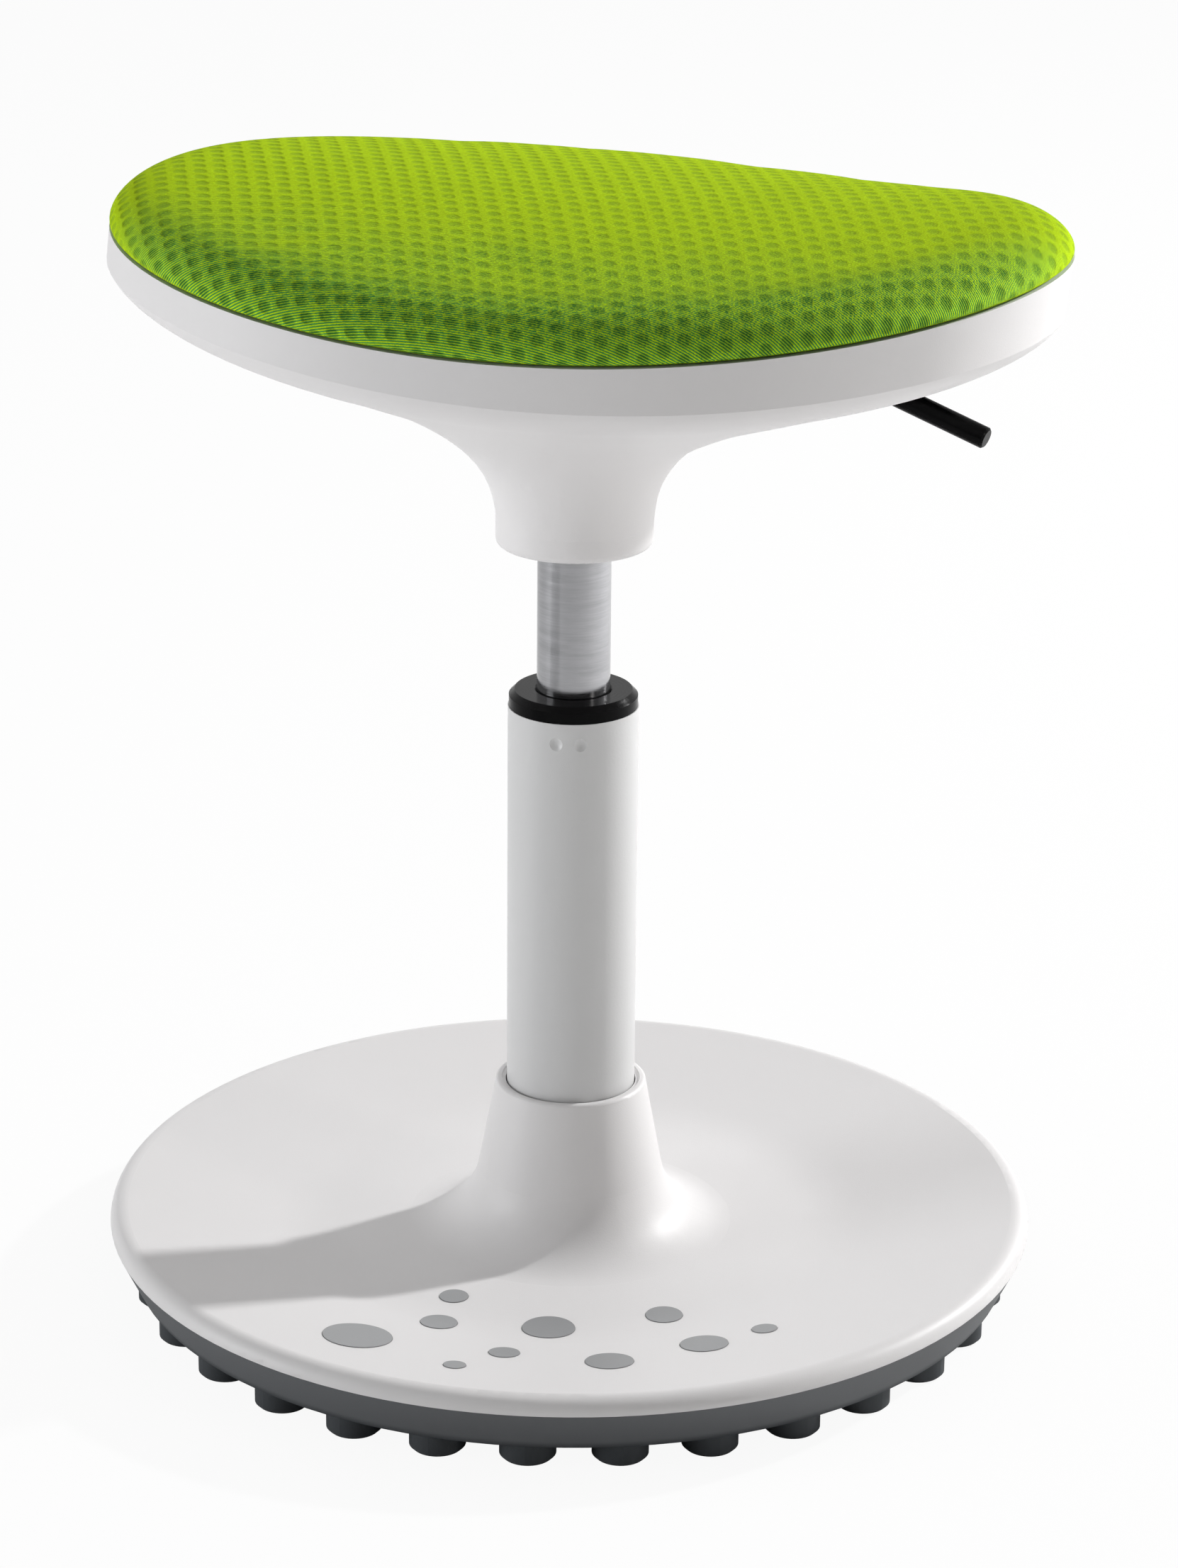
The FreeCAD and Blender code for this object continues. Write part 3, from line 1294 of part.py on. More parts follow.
def pan_boss():
    """The pan's thick middle, flat underneath where the bracket is bolted."""
    radius = size("pan_boss_r")
    sink = size("pan_thick") / 2
    foot = upright_ring(radius, size("bracket_top_z"))

    def shoulder(azimuth):
        spot = around(azimuth, radius, 0, Vector()) - CENTRE
        angle = math.degrees(math.atan2(spot.y, spot.x))
        rise = seat_rise(angle, math.hypot(spot.x, spot.y) / seat_radius(angle))
        return around(azimuth, radius, rise - sink, Vector())

    top = [ring(shoulder)] + saddle_rings(-sink, (0.2,))
    return closed_body([[foot, top[0]], top])


def make_shell_screws():
    solids = []
    for place in boss_places():
        head_z = place.z - size("pan_sink + shell_screw_head")
        bottom = place.z - size("pan_thick + shell_screw_reach")
        shank = post(place, size("shell_screw_r"), bottom, head_z)
        head = post(place, size("shell_screw_head_r"), head_z, head_z + size("shell_screw_head"))
        solids.append(shank.fuse(head).removeSplitter())
    return add_shape("shell_screws", Part.Compound(solids))


def make_seat_cushion():
    gap = size("cushion_gap")
    tuck = size("cushion_tuck")
    tuck_height = size("cushion_tuck_height")
    edge, share_of_edge, power = size("cushion_edge"), size("cushion_round"), 2 / size("cushion_power")
    crown = size("cushion_crown")

    def side(turn):
        angle = math.radians(turn)
        part = 1 - share_of_edge * (1 - math.cos(angle) ** power)
        lift = edge * math.sin(angle) ** power
        inset = tuck * max(0, 1 - lift / tuck_height)
        return ring(lambda azimuth: seat_point(azimuth, part, gap + lift + crown * (1 - part**2), inset))

    def dome(part):
        return ring(lambda azimuth: seat_point(azimuth, part, gap + edge + crown * (1 - part**2)))

    low = saddle_rings(gap, SADDLE_PARTS)
    low_edge = ring(lambda azimuth: seat_point(azimuth, 1, gap + size("cushion_lift"), tuck))
    sides = [low_edge] + [side(turn) for turn in (12, 22, 34, 48, 62, 76, 90)]
    middle = ring(lambda azimuth: cap_point(azimuth, gap + edge + crown))
    top = [dome(part) for part in (0.7, 0.45, 0.2)] + [middle]
    return add_shape("seat_cushion", closed_body([low[::-1] + [low_edge], sides + top]))


MAKERS = (
    make_base_sole, make_cover_screws, make_ballast_plate, make_column_socket, make_flange_screws,
    make_stand_tube, make_guide_bush, make_lower_race, make_upper_race, make_ball_cage,
    make_bearing_balls, make_piston_rod, make_rod_clip, make_clip_washer, make_bumper,
    make_piston, make_piston_ring, make_pressure_tube, make_inner_cylinder, make_rod_guide,
    make_rod_seal, make_valve_block, make_release_button, make_valve_spring, make_seat_bracket,
    make_taper_socket, make_bracket_bolts, make_pan_inserts, make_lever_pin, make_release_lever,
    make_seat_shell, make_seat_pan, make_shell_screws, make_seat_cushion,
)


def build():
    pieces = [make_base_cover(make_pad_recesses()), make_grip_pads()]
    for maker in MAKERS:
        pieces.append(maker())
    doc.recompute()
    for item in doc.Objects:
        if "Invalid" in item.State or "Error" in item.State:
            raise RuntimeError(f"{item.Label} could not be made: {item.State}")
    for piece in pieces:
        if piece.Shape.isNull() or not piece.Shape.isValid():
            raise RuntimeError(f"{piece.Label} has no valid shape")
    os.makedirs("parts", exist_ok=True)
    for piece in pieces:
        piece.Shape.exportStep(f"parts/{piece.Label}.step")
        print(f"{piece.Label}: {len(piece.Shape.Solids)} solids, {piece.Shape.Volume / 1000:.2f} cm3")


build()
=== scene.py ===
import math

import bpy
import bmesh
from bpy.props import FloatProperty, FloatVectorProperty, IntProperty, PointerProperty
from mathutils import Matrix, Vector


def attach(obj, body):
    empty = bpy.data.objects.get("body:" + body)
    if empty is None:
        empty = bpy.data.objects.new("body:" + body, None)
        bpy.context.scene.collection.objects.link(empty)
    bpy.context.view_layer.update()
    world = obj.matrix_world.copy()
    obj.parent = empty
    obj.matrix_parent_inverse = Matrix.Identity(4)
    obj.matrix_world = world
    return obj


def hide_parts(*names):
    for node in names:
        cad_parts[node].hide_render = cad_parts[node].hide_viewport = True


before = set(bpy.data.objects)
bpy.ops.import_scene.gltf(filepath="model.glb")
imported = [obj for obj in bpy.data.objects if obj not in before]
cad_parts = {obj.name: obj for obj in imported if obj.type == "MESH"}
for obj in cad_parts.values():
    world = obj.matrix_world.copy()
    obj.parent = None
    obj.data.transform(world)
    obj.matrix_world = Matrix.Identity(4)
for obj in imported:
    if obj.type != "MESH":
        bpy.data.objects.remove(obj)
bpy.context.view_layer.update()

bl_info = {
    "name": "Active Sitting Stool",
    "version": (1, 0, 0),
    "blender": (4, 5, 0),
    "location": "View3D > Sidebar > Stool",
    "description": "Dresses a height-adjustable active stool with its upholstery and finishes",
    "category": "Object",
}

# Form of the cushion's rounded edge: its share of the radius, and the powers of its outline
EDGE_SHARE = 0.155
EDGE_POWER = 2 / 2.1
BULGE_POWER = 0.38

# Cells of the cushion: the square in its middle, the rings round it and the loops on its edge
CORE = 0.46
CORE_SQUARE = 0.82
CORE_CELLS = 44
RINGS = 15
SIDE_ROLLS = [math.radians(90 - step) for step in (8, 16, 24, 32, 41, 50, 59, 68, 76, 83, 88)]

# The fabric's flat coordinates count in this length
CLOTH_UNIT = 0.1

# Foam: how high the cover is held fast, the frames that the cloth runs, and its stiffness
HELD_HEIGHT = 0.004
FOAM_FRAMES = 20
FOAM = {
    "use_pressure": True,
    "uniform_pressure_force": 4.0,
    "tension_stiffness": 800.0,
    "compression_stiffness": 400.0,
    "shear_stiffness": 200.0,
    "bending_stiffness": 8.0,
    "quality": 5,
}

# Noise of the fabric: fuzz, wisps of thread and slow clouds, per length of cloth
FUZZ_SCALE = 190.0
WISP_SCALE = 130.0
CLOUD_SCALE = 3.0

# Fray of the threads on the stretched side and on the top, in lengths of cloth
FRAY_SIDE = 0.004
FRAY_TOP = 0.022

# Heights between which the sole turns from the tone of its wall to that of its studs
SOLE_WALL_Z = 0.0125
STUD_Z = 0.0085

# Distance between the fine moulded rings of the guide bush
BUSH_RING = 0.0016

# Places and sizes of the lamps
STOOL_MIDDLE = Vector((0, 0, 0.2))
KEY_AWAY = 3.0
KEY_WIDTH = 0.14
LEFT_LAMP = {"place": (-2.4, -0.5, 0.45), "aim": STOOL_MIDDLE, "width": 1.0, "height": 0.8,
             "tint": (0.97, 0.985, 1.0)}
RIGHT_LAMP = {"place": (2.2, -1.2, 0.5), "aim": (0, 0, 0.3), "width": 0.25, "height": 1.0,
              "tint": (1.0, 0.97, 0.93)}

# The floor lies a hair under the studs
FLOOR_Z = -0.0002
FLOOR_HALF = 6.0
FLOOR_TINT = (0.94, 0.94, 0.94, 1)
WHITE = (1, 1, 1, 1)


# Sizes and colours

def length(name, description, default):
    return FloatProperty(name=name, description=description, default=default, unit="LENGTH",
                         precision=5)


def amount(name, description, default, unit="NONE"):
    return FloatProperty(name=name, description=description, default=default, min=0.0, unit=unit)


def angle(name, description, degrees):
    return FloatProperty(name=name, description=description, default=math.radians(degrees),
                         subtype="ANGLE")


def ratio(name, description, default):
    return FloatProperty(name=name, description=description, default=default, precision=4)


def colour(name, description, default):
    return FloatVectorProperty(name=name, description=description, default=default,
                               subtype="COLOR", size=3, min=0.0, max=1.0)


class StoolSeatSizes(bpy.types.PropertyGroup):
    """Outline, saddle and fabric of the seat"""
    centre_x: length("Centre to the right", "Seat centre to the right of the column", 0.0077)
    centre_y: length("Centre to the back", "Seat centre behind the column", 0.0024)
    radius: length("Mean radius", "Mean radius of the seat", 0.1801)
    oval: length("Oval", "Two-lobed change of the radius", 0.0072)
    oval_turn: angle("Oval turn", "Azimuth of the narrow sides", 6.7)
    lobe: length("Three lobes", "Three-lobed change of the radius", 0.0059)
    lobe_turn: angle("Three lobes turn", "Azimuth of a flat side", 18.6)
    height: length("Height", "Height of the seat's centre under the cushion", 0.411)
    tilt: length("Tilt", "Rise of the high edge", 0.0124)
    tilt_turn: angle("Tilt turn", "Azimuth of the high edge", -114.3)
    saddle: length("Saddle", "Rise of the two sides of the saddle", 0.0103)
    saddle_turn: angle("Saddle turn", "Azimuth of the saddle's sides", -16.9)
    twist: length("Twist", "Three-lobed change of the height", 0.001)
    twist_turn: angle("Twist turn", "Azimuth of a raised lobe", -21.6)
    gap: length("Gap", "Gap between the pan and the cushion", 0.0003)
    lift: length("Edge lift", "How far the cushion's lower edge stands up from the pan", 0.0002)
    edge: length("Edge height", "Height of the cushion's rounded edge", 0.0173)
    crown: length("Crown", "Crown over the middle of the cushion", 0.0058)
    tuck: length("Tuck", "How far the lower edge is drawn in", 0.0003)
    bulge: length("Bulge", "How far the rounded edge stands out over the shell's rim", 0.0019)
    tuck_height: length("Tuck height", "Height over which the edge is drawn in", 0.005)
    slack: length("Slack", "How much smaller the cover is before the foam fills it", 0.0006)
    swell: length("Swell", "Furthest that the foam moves the cover", 0.0022)
    column: length("Dimple columns", "Distance between two columns of dimples", 0.00744)
    column_start: length("First column", "Place of the first column beside the middle", -0.00065)
    column_slant: ratio("Column slant", "How far the columns lean left on their way back", 0.067)
    column_fan: ratio("Column fan", "Spread of the columns towards the back, per 0.1 m", -0.032)
    row: length("Dimple rows", "Distance between two dimples in a column", 0.01164)
    row_start: length("First row", "Place of the first row before the middle", 0.00033)
    row_slant: ratio("Row slant", "How far the rows come forward on their way to the right", 0.534)
    row_bend: ratio("Row bend", "Bend of the stretched rows, per 0.1 m", 0.254)
    row_fan: ratio("Row fan", "Spread of the rows to the left, per 0.1 m", -0.095)
    row_fan_back: ratio("Row fan back", "Spread of the rows to the back, per 0.1 m", -0.038)
    dimple_width: length("Dimple width", "Width of a dimple", 0.0047)
    dimple_length: length("Dimple length", "Length of a dimple", 0.0078)
    wall_shrink: ratio("Wall shrink", "How much closer the rows lie on the cushion's side", 1.5)
    threads: IntProperty(name="Threads", description="Threads in a row of dimples", default=7)


class StoolColours(bpy.types.PropertyGroup):
    """Colours of the stool's surfaces"""
    white: colour("White plastic", "Moulded cover of the base", (0.80, 0.787, 0.787))
    # Moulded seat shell: the cover's white plastic, set lighter than on the cover as painted light
    shell: colour("Seat shell", "Moulded seat shell", (0.86, 0.845, 0.845))
    tube: colour("Stand tube", "Paint of the stand tube", (0.70, 0.70, 0.70))
    lime: colour("Fabric", "Raised threads of the fabric", (0.515, 0.745, 0.009))
    green: colour("Between threads", "Ground of the fabric between threads", (0.10, 0.45, 0.095))
    # Bottom of the fabric's dimples, its own tone darkened by painted shade in the hollows
    dimple: colour("Dimples", "Bottom of the fabric's dimples", (0.045, 0.205, 0.034))
    pad: colour("Grip pads", "Rubber pads in the base", (0.305, 0.31, 0.317))
    sole: colour("Sole", "Rubber sole of the base", (0.135, 0.141, 0.148))
    # Darker tone of the sole towards the floor, at its studs
    stud: colour("Studs", "Darker rubber of the studs", (0.05, 0.056, 0.062))
    black: colour("Black", "Bush, lever and bracket", (0.003, 0.003, 0.0033))
    steel: colour("Steel", "Brushed and ground steel", (0.46, 0.46, 0.475))
    zinc: colour("Zinc", "Zinc plated screws and sockets", (0.55, 0.56, 0.58))
    iron: colour("Iron", "Cast ballast plate", (0.06, 0.06, 0.062))
    brass: colour("Brass", "Inserts and ball cage", (0.68, 0.50, 0.22))
    rubber: colour("Black rubber", "Bumper and seals", (0.012, 0.012, 0.013))


class StoolStudio(bpy.types.PropertyGroup):
    """Camera and lights round the stool"""
    camera_away: length("Camera distance", "Camera in front of the column", 1.651)
    camera_height: length("Camera height", "Camera above the floor", 0.796)
    camera_pitch: angle("Camera pitch", "How far the camera looks down", 19.78)
    camera_yaw: angle("Camera yaw", "How far the camera looks to the right", 0.2156)
    camera_roll: angle("Camera roll", "How far the stool leans in the picture", 0.5)
    lens: amount("Lens", "Focal length in millimetres", 105.1, "CAMERA")
    key: amount("Key light", "Strength of the key light", 74.0, "POWER")
    key_azimuth: angle("Key azimuth", "Direction that the key light stands in", 29.0)
    key_elevation: angle("Key elevation", "Height of the key light above the horizon", 28.0)
    left: amount("Left light", "Strength of the left light", 22.0, "POWER")
    right: amount("Right light", "Strength of the right light", 6.0, "POWER")
    room: amount("Room light", "Strength of the room's sides", 0.66)
    front: amount("Front light", "Strength of the room in front", 0.14)
    floor_glow: ratio("Floor glow", "Share of white that the floor shows to the camera", 0.93)


# Nodes

class Graph:
    """Short calls to place and link the nodes of a material or a group."""

    def __init__(self, tree):
        self.tree = tree

    def node(self, kind, links=None, **settings):
        made = self.tree.nodes.new(kind)
        for name, value in settings.items():
            setattr(made, name, value)
        for socket, value in (links or {}).items():
            self.feed(made.inputs[socket], value)
        return made

    def feed(self, socket, value):
        if isinstance(value, bpy.types.NodeSocket):
            self.tree.links.new(value, socket)
        else:
            socket.default_value = value

    def math(self, operation, first, second=0.0, third=None, clamp=False):
        made = self.node("ShaderNodeMath", {0: first, 1: second}, operation=operation,
                         use_clamp=clamp)
        if third is not None:
            self.feed(made.inputs[2], third)
        return made.outputs[0]

    def mix(self, share, first, second):
        made = self.node("ShaderNodeMix", data_type="RGBA")
        for socket, value in ((0, share), (6, first), (7, second)):
            self.feed(made.inputs[socket], value)
        return made.outputs[2]

    def noise(self, vector, scale, detail=3.0, roughness=0.5):
        made = self.node("ShaderNodeTexNoise", {"Vector": vector, "Scale": scale, "Detail": detail,
                                                "Roughness": roughness})
        return made.outputs["Fac"]

    def smooth(self, value, low, high, start=0.0, end=1.0):
        made = self.node("ShaderNodeMapRange", {"Value": value, "From Min": low, "From Max": high,
                                                "To Min": start, "To Max": end},
                         interpolation_type="SMOOTHSTEP")
        return made.outputs["Result"]

    def stretched(self, vector, scale):
        made = self.node("ShaderNodeVectorMath", {0: vector, 1: scale}, operation="MULTIPLY")
        return made.outputs["Vector"]

    def shaded(self, colour, shade):
        made = self.node("ShaderNodeVectorMath", {0: colour, "Scale": shade}, operation="SCALE")
        return made.outputs["Vector"]

    def place(self, kind="Object"):
        return self.node("ShaderNodeTexCoord").outputs[kind]

    def split(self, vector):
        return self.node("ShaderNodeSeparateXYZ", {0: vector}).outputs

    def swing(self, value):
        return self.math("SUBTRACT", value, 0.5)

    def product(self, first, *others):
        for other in others:
            first = self.math("MULTIPLY", first, other)
        return first


def new_group(name, inputs, outputs):
    """A shader node group with its sockets; inputs and outputs are (kind, name, default)."""
    tree = bpy.data.node_groups.new(name, "ShaderNodeTree")
    for direction, sockets in (("INPUT", inputs), ("OUTPUT", outputs)):
        for kind, label, default in sockets:
            socket = tree.interface.new_socket(label, in_out=direction,
                                               socket_type="NodeSocket" + kind)
            if default is not None:
                socket.default_value = default
    graph = Graph(tree)
    return graph, graph.node("NodeGroupInput").outputs, graph.node("NodeGroupOutput").inputs


def moulded_grain_group():
    """Fine spark-eroded grain of a moulding, with a slow change of tone."""
    graph, given, out = new_group(
        "Moulded grain",
        [("Color", "Colour", (0.8, 0.8, 0.8, 1)), ("Float", "Grain", 3000.0),
         ("Float", "Tone", 0.03), ("Float", "Roughness", 0.45)],
        [("Color", "Colour", None), ("Float", "Roughness", None), ("Float", "Height", None)])
    place = graph.place()
    slow = graph.noise(place, 14.0, 2.0)
    fine = graph.noise(place, given["Grain"], 2.0, 0.6)
    shade = graph.math("MULTIPLY_ADD", graph.swing(slow), given["Tone"], 1.0)
    roughness = graph.math("MULTIPLY_ADD", graph.swing(fine), 0.12, given["Roughness"])
    graph.feed(out["Colour"], graph.shaded(given["Colour"], shade))
    graph.feed(out["Roughness"], roughness)
    graph.feed(out["Height"], fine)
    return graph.tree


def brushed_group():
    """Fine turning or brushing marks round the column's axis."""
    graph, given, out = new_group(
        "Brushing",
        [("Color", "Colour", (0.6, 0.6, 0.6, 1)), ("Float", "Lines", 5200.0),
         ("Float", "Depth", 0.14), ("Float", "Roughness", 0.25)],
        [("Color", "Colour", None), ("Float", "Roughness", None), ("Float", "Height", None)])
    place = graph.place()
    lines = graph.noise(graph.stretched(place, (0.012, 0.012, 1.0)), given["Lines"], 4.0, 0.7)
    patches = graph.noise(graph.stretched(place, (0.15, 0.15, 1.0)), 420.0, 3.0, 0.6)
    both = graph.math("MULTIPLY_ADD", patches, 0.45, graph.math("MULTIPLY", lines, 0.55))
    swing = graph.swing(both)
    shade = graph.math("MULTIPLY_ADD", swing, graph.math("MULTIPLY", given["Depth"], 2.0), 1.0)
    roughness = graph.math("MULTIPLY_ADD", swing, given["Depth"], given["Roughness"])
    graph.feed(out["Colour"], graph.shaded(given["Colour"], shade))
    graph.feed(out["Roughness"], roughness)
    graph.feed(out["Height"], both)
    return graph.tree


def weave_group():
    """Oval dimples and threads of the stretched fabric, from its flat coordinates."""
    graph, given, out = new_group(
        "Weave",
        [("Vector", "Cloth", None),
         ("Float", "Column", 0.0744), ("Float", "Column start", -0.0065),
         ("Float", "Column slant", 0.067), ("Float", "Column fan", -0.032),
         ("Float", "Row", 0.1164), ("Float", "Row start", 0.0033),
         ("Float", "Row slant", 0.534), ("Float", "Row bend", 0.254),
         ("Float", "Row fan", -0.095), ("Float", "Row fan back", -0.038),
         ("Float", "Width", 0.047), ("Float", "Length", 0.078), ("Float", "Threads", 7.0)],
        [("Float", "Mask", None), ("Float", "Hollow", None), ("Float", "Along", None),
         ("Float", "Thread", None)])
    across, along = graph.split(given["Cloth"])[:2]
    both = graph.math("MULTIPLY", across, along)
    column = graph.math("MULTIPLY_ADD", along, given["Column slant"], across)
    column = graph.math("MULTIPLY_ADD", both, given["Column fan"], column)
    row = graph.math("MULTIPLY_ADD", across, given["Row slant"], along)
    side = graph.math("MULTIPLY", across, across)
    row = graph.math("MULTIPLY_ADD", side, given["Row bend"], row)
    row = graph.math("MULTIPLY_ADD", both, given["Row fan"], row)
    back = graph.math("MULTIPLY", along, along)
    row = graph.math("MULTIPLY_ADD", back, given["Row fan back"], row)

    def in_cells(place, start, step):
        return graph.math("DIVIDE", graph.math("SUBTRACT", place, start), step)

    def from_centre(cells, step):
        return graph.math("MULTIPLY", graph.swing(graph.math("FRACT", cells)), step)

    def rounded(value):
        return graph.math("POWER", graph.math("ABSOLUTE", value), 2.2)

    rows = in_cells(row, given["Row start"], given["Row"])
    columns = in_cells(column, given["Column start"], given["Column"])
    beside = from_centre(columns, given["Column"])
    bend = graph.math("MULTIPLY", across, 2.0)
    shear = graph.math("MULTIPLY_ADD", bend, given["Row bend"], given["Row slant"])
    before = from_centre(rows, given["Row"])
    before = graph.math("SUBTRACT", before, graph.math("MULTIPLY", shear, beside))
    wide = graph.math("DIVIDE", beside, graph.math("MULTIPLY", given["Width"], 0.5))
    long = graph.math("DIVIDE", before, graph.math("MULTIPLY", given["Length"], 0.5))
    reach = graph.math("ADD", rounded(wide), rounded(long))
    graph.feed(out["Mask"], graph.smooth(reach, 1.6, 0.25))
    graph.feed(out["Hollow"], graph.smooth(reach, 1.8, 0.0))
    graph.feed(out["Along"], long)
    turns = graph.product(rows, given["Threads"], 2 * math.pi)
    graph.feed(out["Thread"], graph.math("MULTIPLY_ADD", graph.math("SINE", turns), 0.5, 0.5))
    return graph.tree


def group_node(graph, tree, values):
    made = graph.node("ShaderNodeGroup", node_tree=tree)
    for socket, value in values.items():
        graph.feed(made.inputs[socket], value)
    return made.outputs


def new_material(name, **sockets):
    """A material with its graph and Principled shader; plain values go straight on the shader."""
    material = bpy.data.materials.new(name)
    material.use_nodes = True
    graph = Graph(material.node_tree)
    shader = material.node_tree.nodes["Principled BSDF"]
    for socket, value in sockets.items():
        graph.feed(shader.inputs[socket.replace("_", " ")], value)
    return material, graph, shader


def bump(graph, shader, height, strength, distance):
    made = graph.node("ShaderNodeBump", {"Height": height, "Strength": strength,
                                         "Distance": distance})
    graph.feed(shader.inputs["Normal"], made.outputs["Normal"])


def opaque(values):
    return (*values, 1.0)


def surface(graph, shader, group, **values):
    """Colour and roughness from a shared group; its height is given back for the bump."""
    found = group_node(graph, bpy.data.node_groups[group], values)
    graph.feed(shader.inputs["Base Color"], found["Colour"])
    graph.feed(shader.inputs["Roughness"], found["Roughness"])
    return found["Height"]


def moulded(name, tint, roughness, grain=2600.0, tone=0.03, depth=0.00004, **sockets):
    material, graph, shader = new_material(name, **sockets)
    height = surface(graph, shader, "Moulded grain", Colour=opaque(tint), Grain=grain, Tone=tone,
                     Roughness=roughness)
    bump(graph, shader, height, 0.35, depth)
    return material


def metal(name, tint, roughness, lines=5200.0, depth=0.14, relief=0.00003):
    material, graph, shader = new_material(name, Metallic=1.0)
    height = surface(graph, shader, "Brushing", Colour=opaque(tint), Lines=lines, Depth=depth,
                     Roughness=roughness)
    bump(graph, shader, height, 0.4, relief)
    return material


def dress(material, *nodes):
    """Gives CAD nodes their finish; their shape stays as it is."""
    for name in nodes:
        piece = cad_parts[name]
        piece.data.materials.clear()
        piece.data.materials.append(material)


# Seat surface

class SeatShape:
    """Points of the cushion from its sizes."""

    def __init__(self, sizes, slack=0.0):
        self.sizes = sizes
        self.slack = slack
        self.centre = Vector((sizes.centre_x, sizes.centre_y, 0))

    def rim(self, turn):
        sizes = self.sizes
        oval = sizes.oval * math.cos(2 * (turn - sizes.oval_turn))
        return sizes.radius - oval - sizes.lobe * math.cos(3 * (turn - sizes.lobe_turn))

    def rise(self, turn, part):
        sizes = self.sizes
        height = sizes.height + part * sizes.tilt * math.cos(turn - sizes.tilt_turn)
        height += part**2 * sizes.saddle * math.cos(2 * (turn - sizes.saddle_turn))
        return height + part**3 * sizes.twist * math.cos(3 * (turn - sizes.twist_turn))

    def place(self, turn, part, lift, inset=0.0):
        radius = self.rim(turn) * part - inset
        flat = Vector((radius * math.cos(turn), radius * math.sin(turn), 0))
        return self.centre + flat + Vector((0, 0, self.rise(turn, part) + lift))

    def top(self, turn, part):
        sizes = self.sizes
        lift = sizes.gap + sizes.edge + sizes.crown * (1 - part**2)
        return self.place(turn, part, lift - self.slack)

    def under(self, turn, part):
        lift = self.sizes.lift * max(0.0, (part - 0.9) * 10)
        return self.place(turn, part, self.sizes.gap + lift, self.sizes.tuck * part)

    def side(self, turn, roll):
        """A point on the rounded edge; roll is 0 at the foot and a quarter turn at the top."""
        sizes = self.sizes
        part = 1 - EDGE_SHARE * (1 - math.cos(roll) ** EDGE_POWER)
        lift = sizes.edge * math.sin(roll) ** EDGE_POWER
        inset = sizes.tuck * max(0.0, 1 - lift / sizes.tuck_height)
        inset -= sizes.bulge * math.sin(math.pi * (lift / sizes.edge) ** BULGE_POWER)
        crown = sizes.crown * (1 - part**2)
        foot = sizes.lift * (1 - math.sin(roll)) ** 4
        height = sizes.gap + foot + lift * (1 - self.slack / sizes.edge) + crown
        return self.place(turn, part, height, inset + self.slack * math.cos(roll))


def core_place(across, along):
    """A point of the rounded square in the middle, as (turn, part)."""
    x = 0.5 * (across * math.sqrt(1 - along**2 / 2) + CORE_SQUARE * across)
    y = 0.5 * (along * math.sqrt(1 - across**2 / 2) + CORE_SQUARE * along)
    return math.atan2(y, x), CORE * math.hypot(x, y)


def core_border():
    """Cells round the edge of the middle square, anticlockwise from its right side's foot."""
    last = CORE_CELLS
    right = [(last, row) for row in range(last)]
    back = [(last - column, last) for column in range(last)]
    left = [(0, last - row) for row in range(last)]
    front = [(column, 0) for column in range(last)]
    return right + back + left + front


def even_turns(count):
    """Evenly spaced turns, from the middle square's right foot on."""
    first = -math.pi / 4
    return [first + 2 * math.pi * number / count for number in range(count)]


def near_turn(turn, goal):
    """The same turn, by whole turns as near to the goal as it gets."""
    while turn - goal > math.pi:
        turn -= 2 * math.pi
    while goal - turn > math.pi:
        turn += 2 * math.pi
    return turn


def dome_layout(edge_part):
    """(turn, part) of the middle grid, and of the rings from it out to edge_part."""
    grid = {}
    for column in range(CORE_CELLS + 1):
        for row in range(CORE_CELLS + 1):
            across, along = 2 * column / CORE_CELLS - 1, 2 * row / CORE_CELLS - 1
            grid[column, row] = core_place(across, along)
    border = core_border()
    goals = even_turns(len(border))
    rows = []
    for number in range(1, RINGS + 1):
        share = number / RINGS
        row = []
        for cell, goal in zip(border, goals):
            turn, part = grid[cell]
            turn = near_turn(turn, goal)
            row.append((turn + (goal - turn) * share, part + (edge_part - part) * share))
        rows.append(row)
    return grid, border, rows


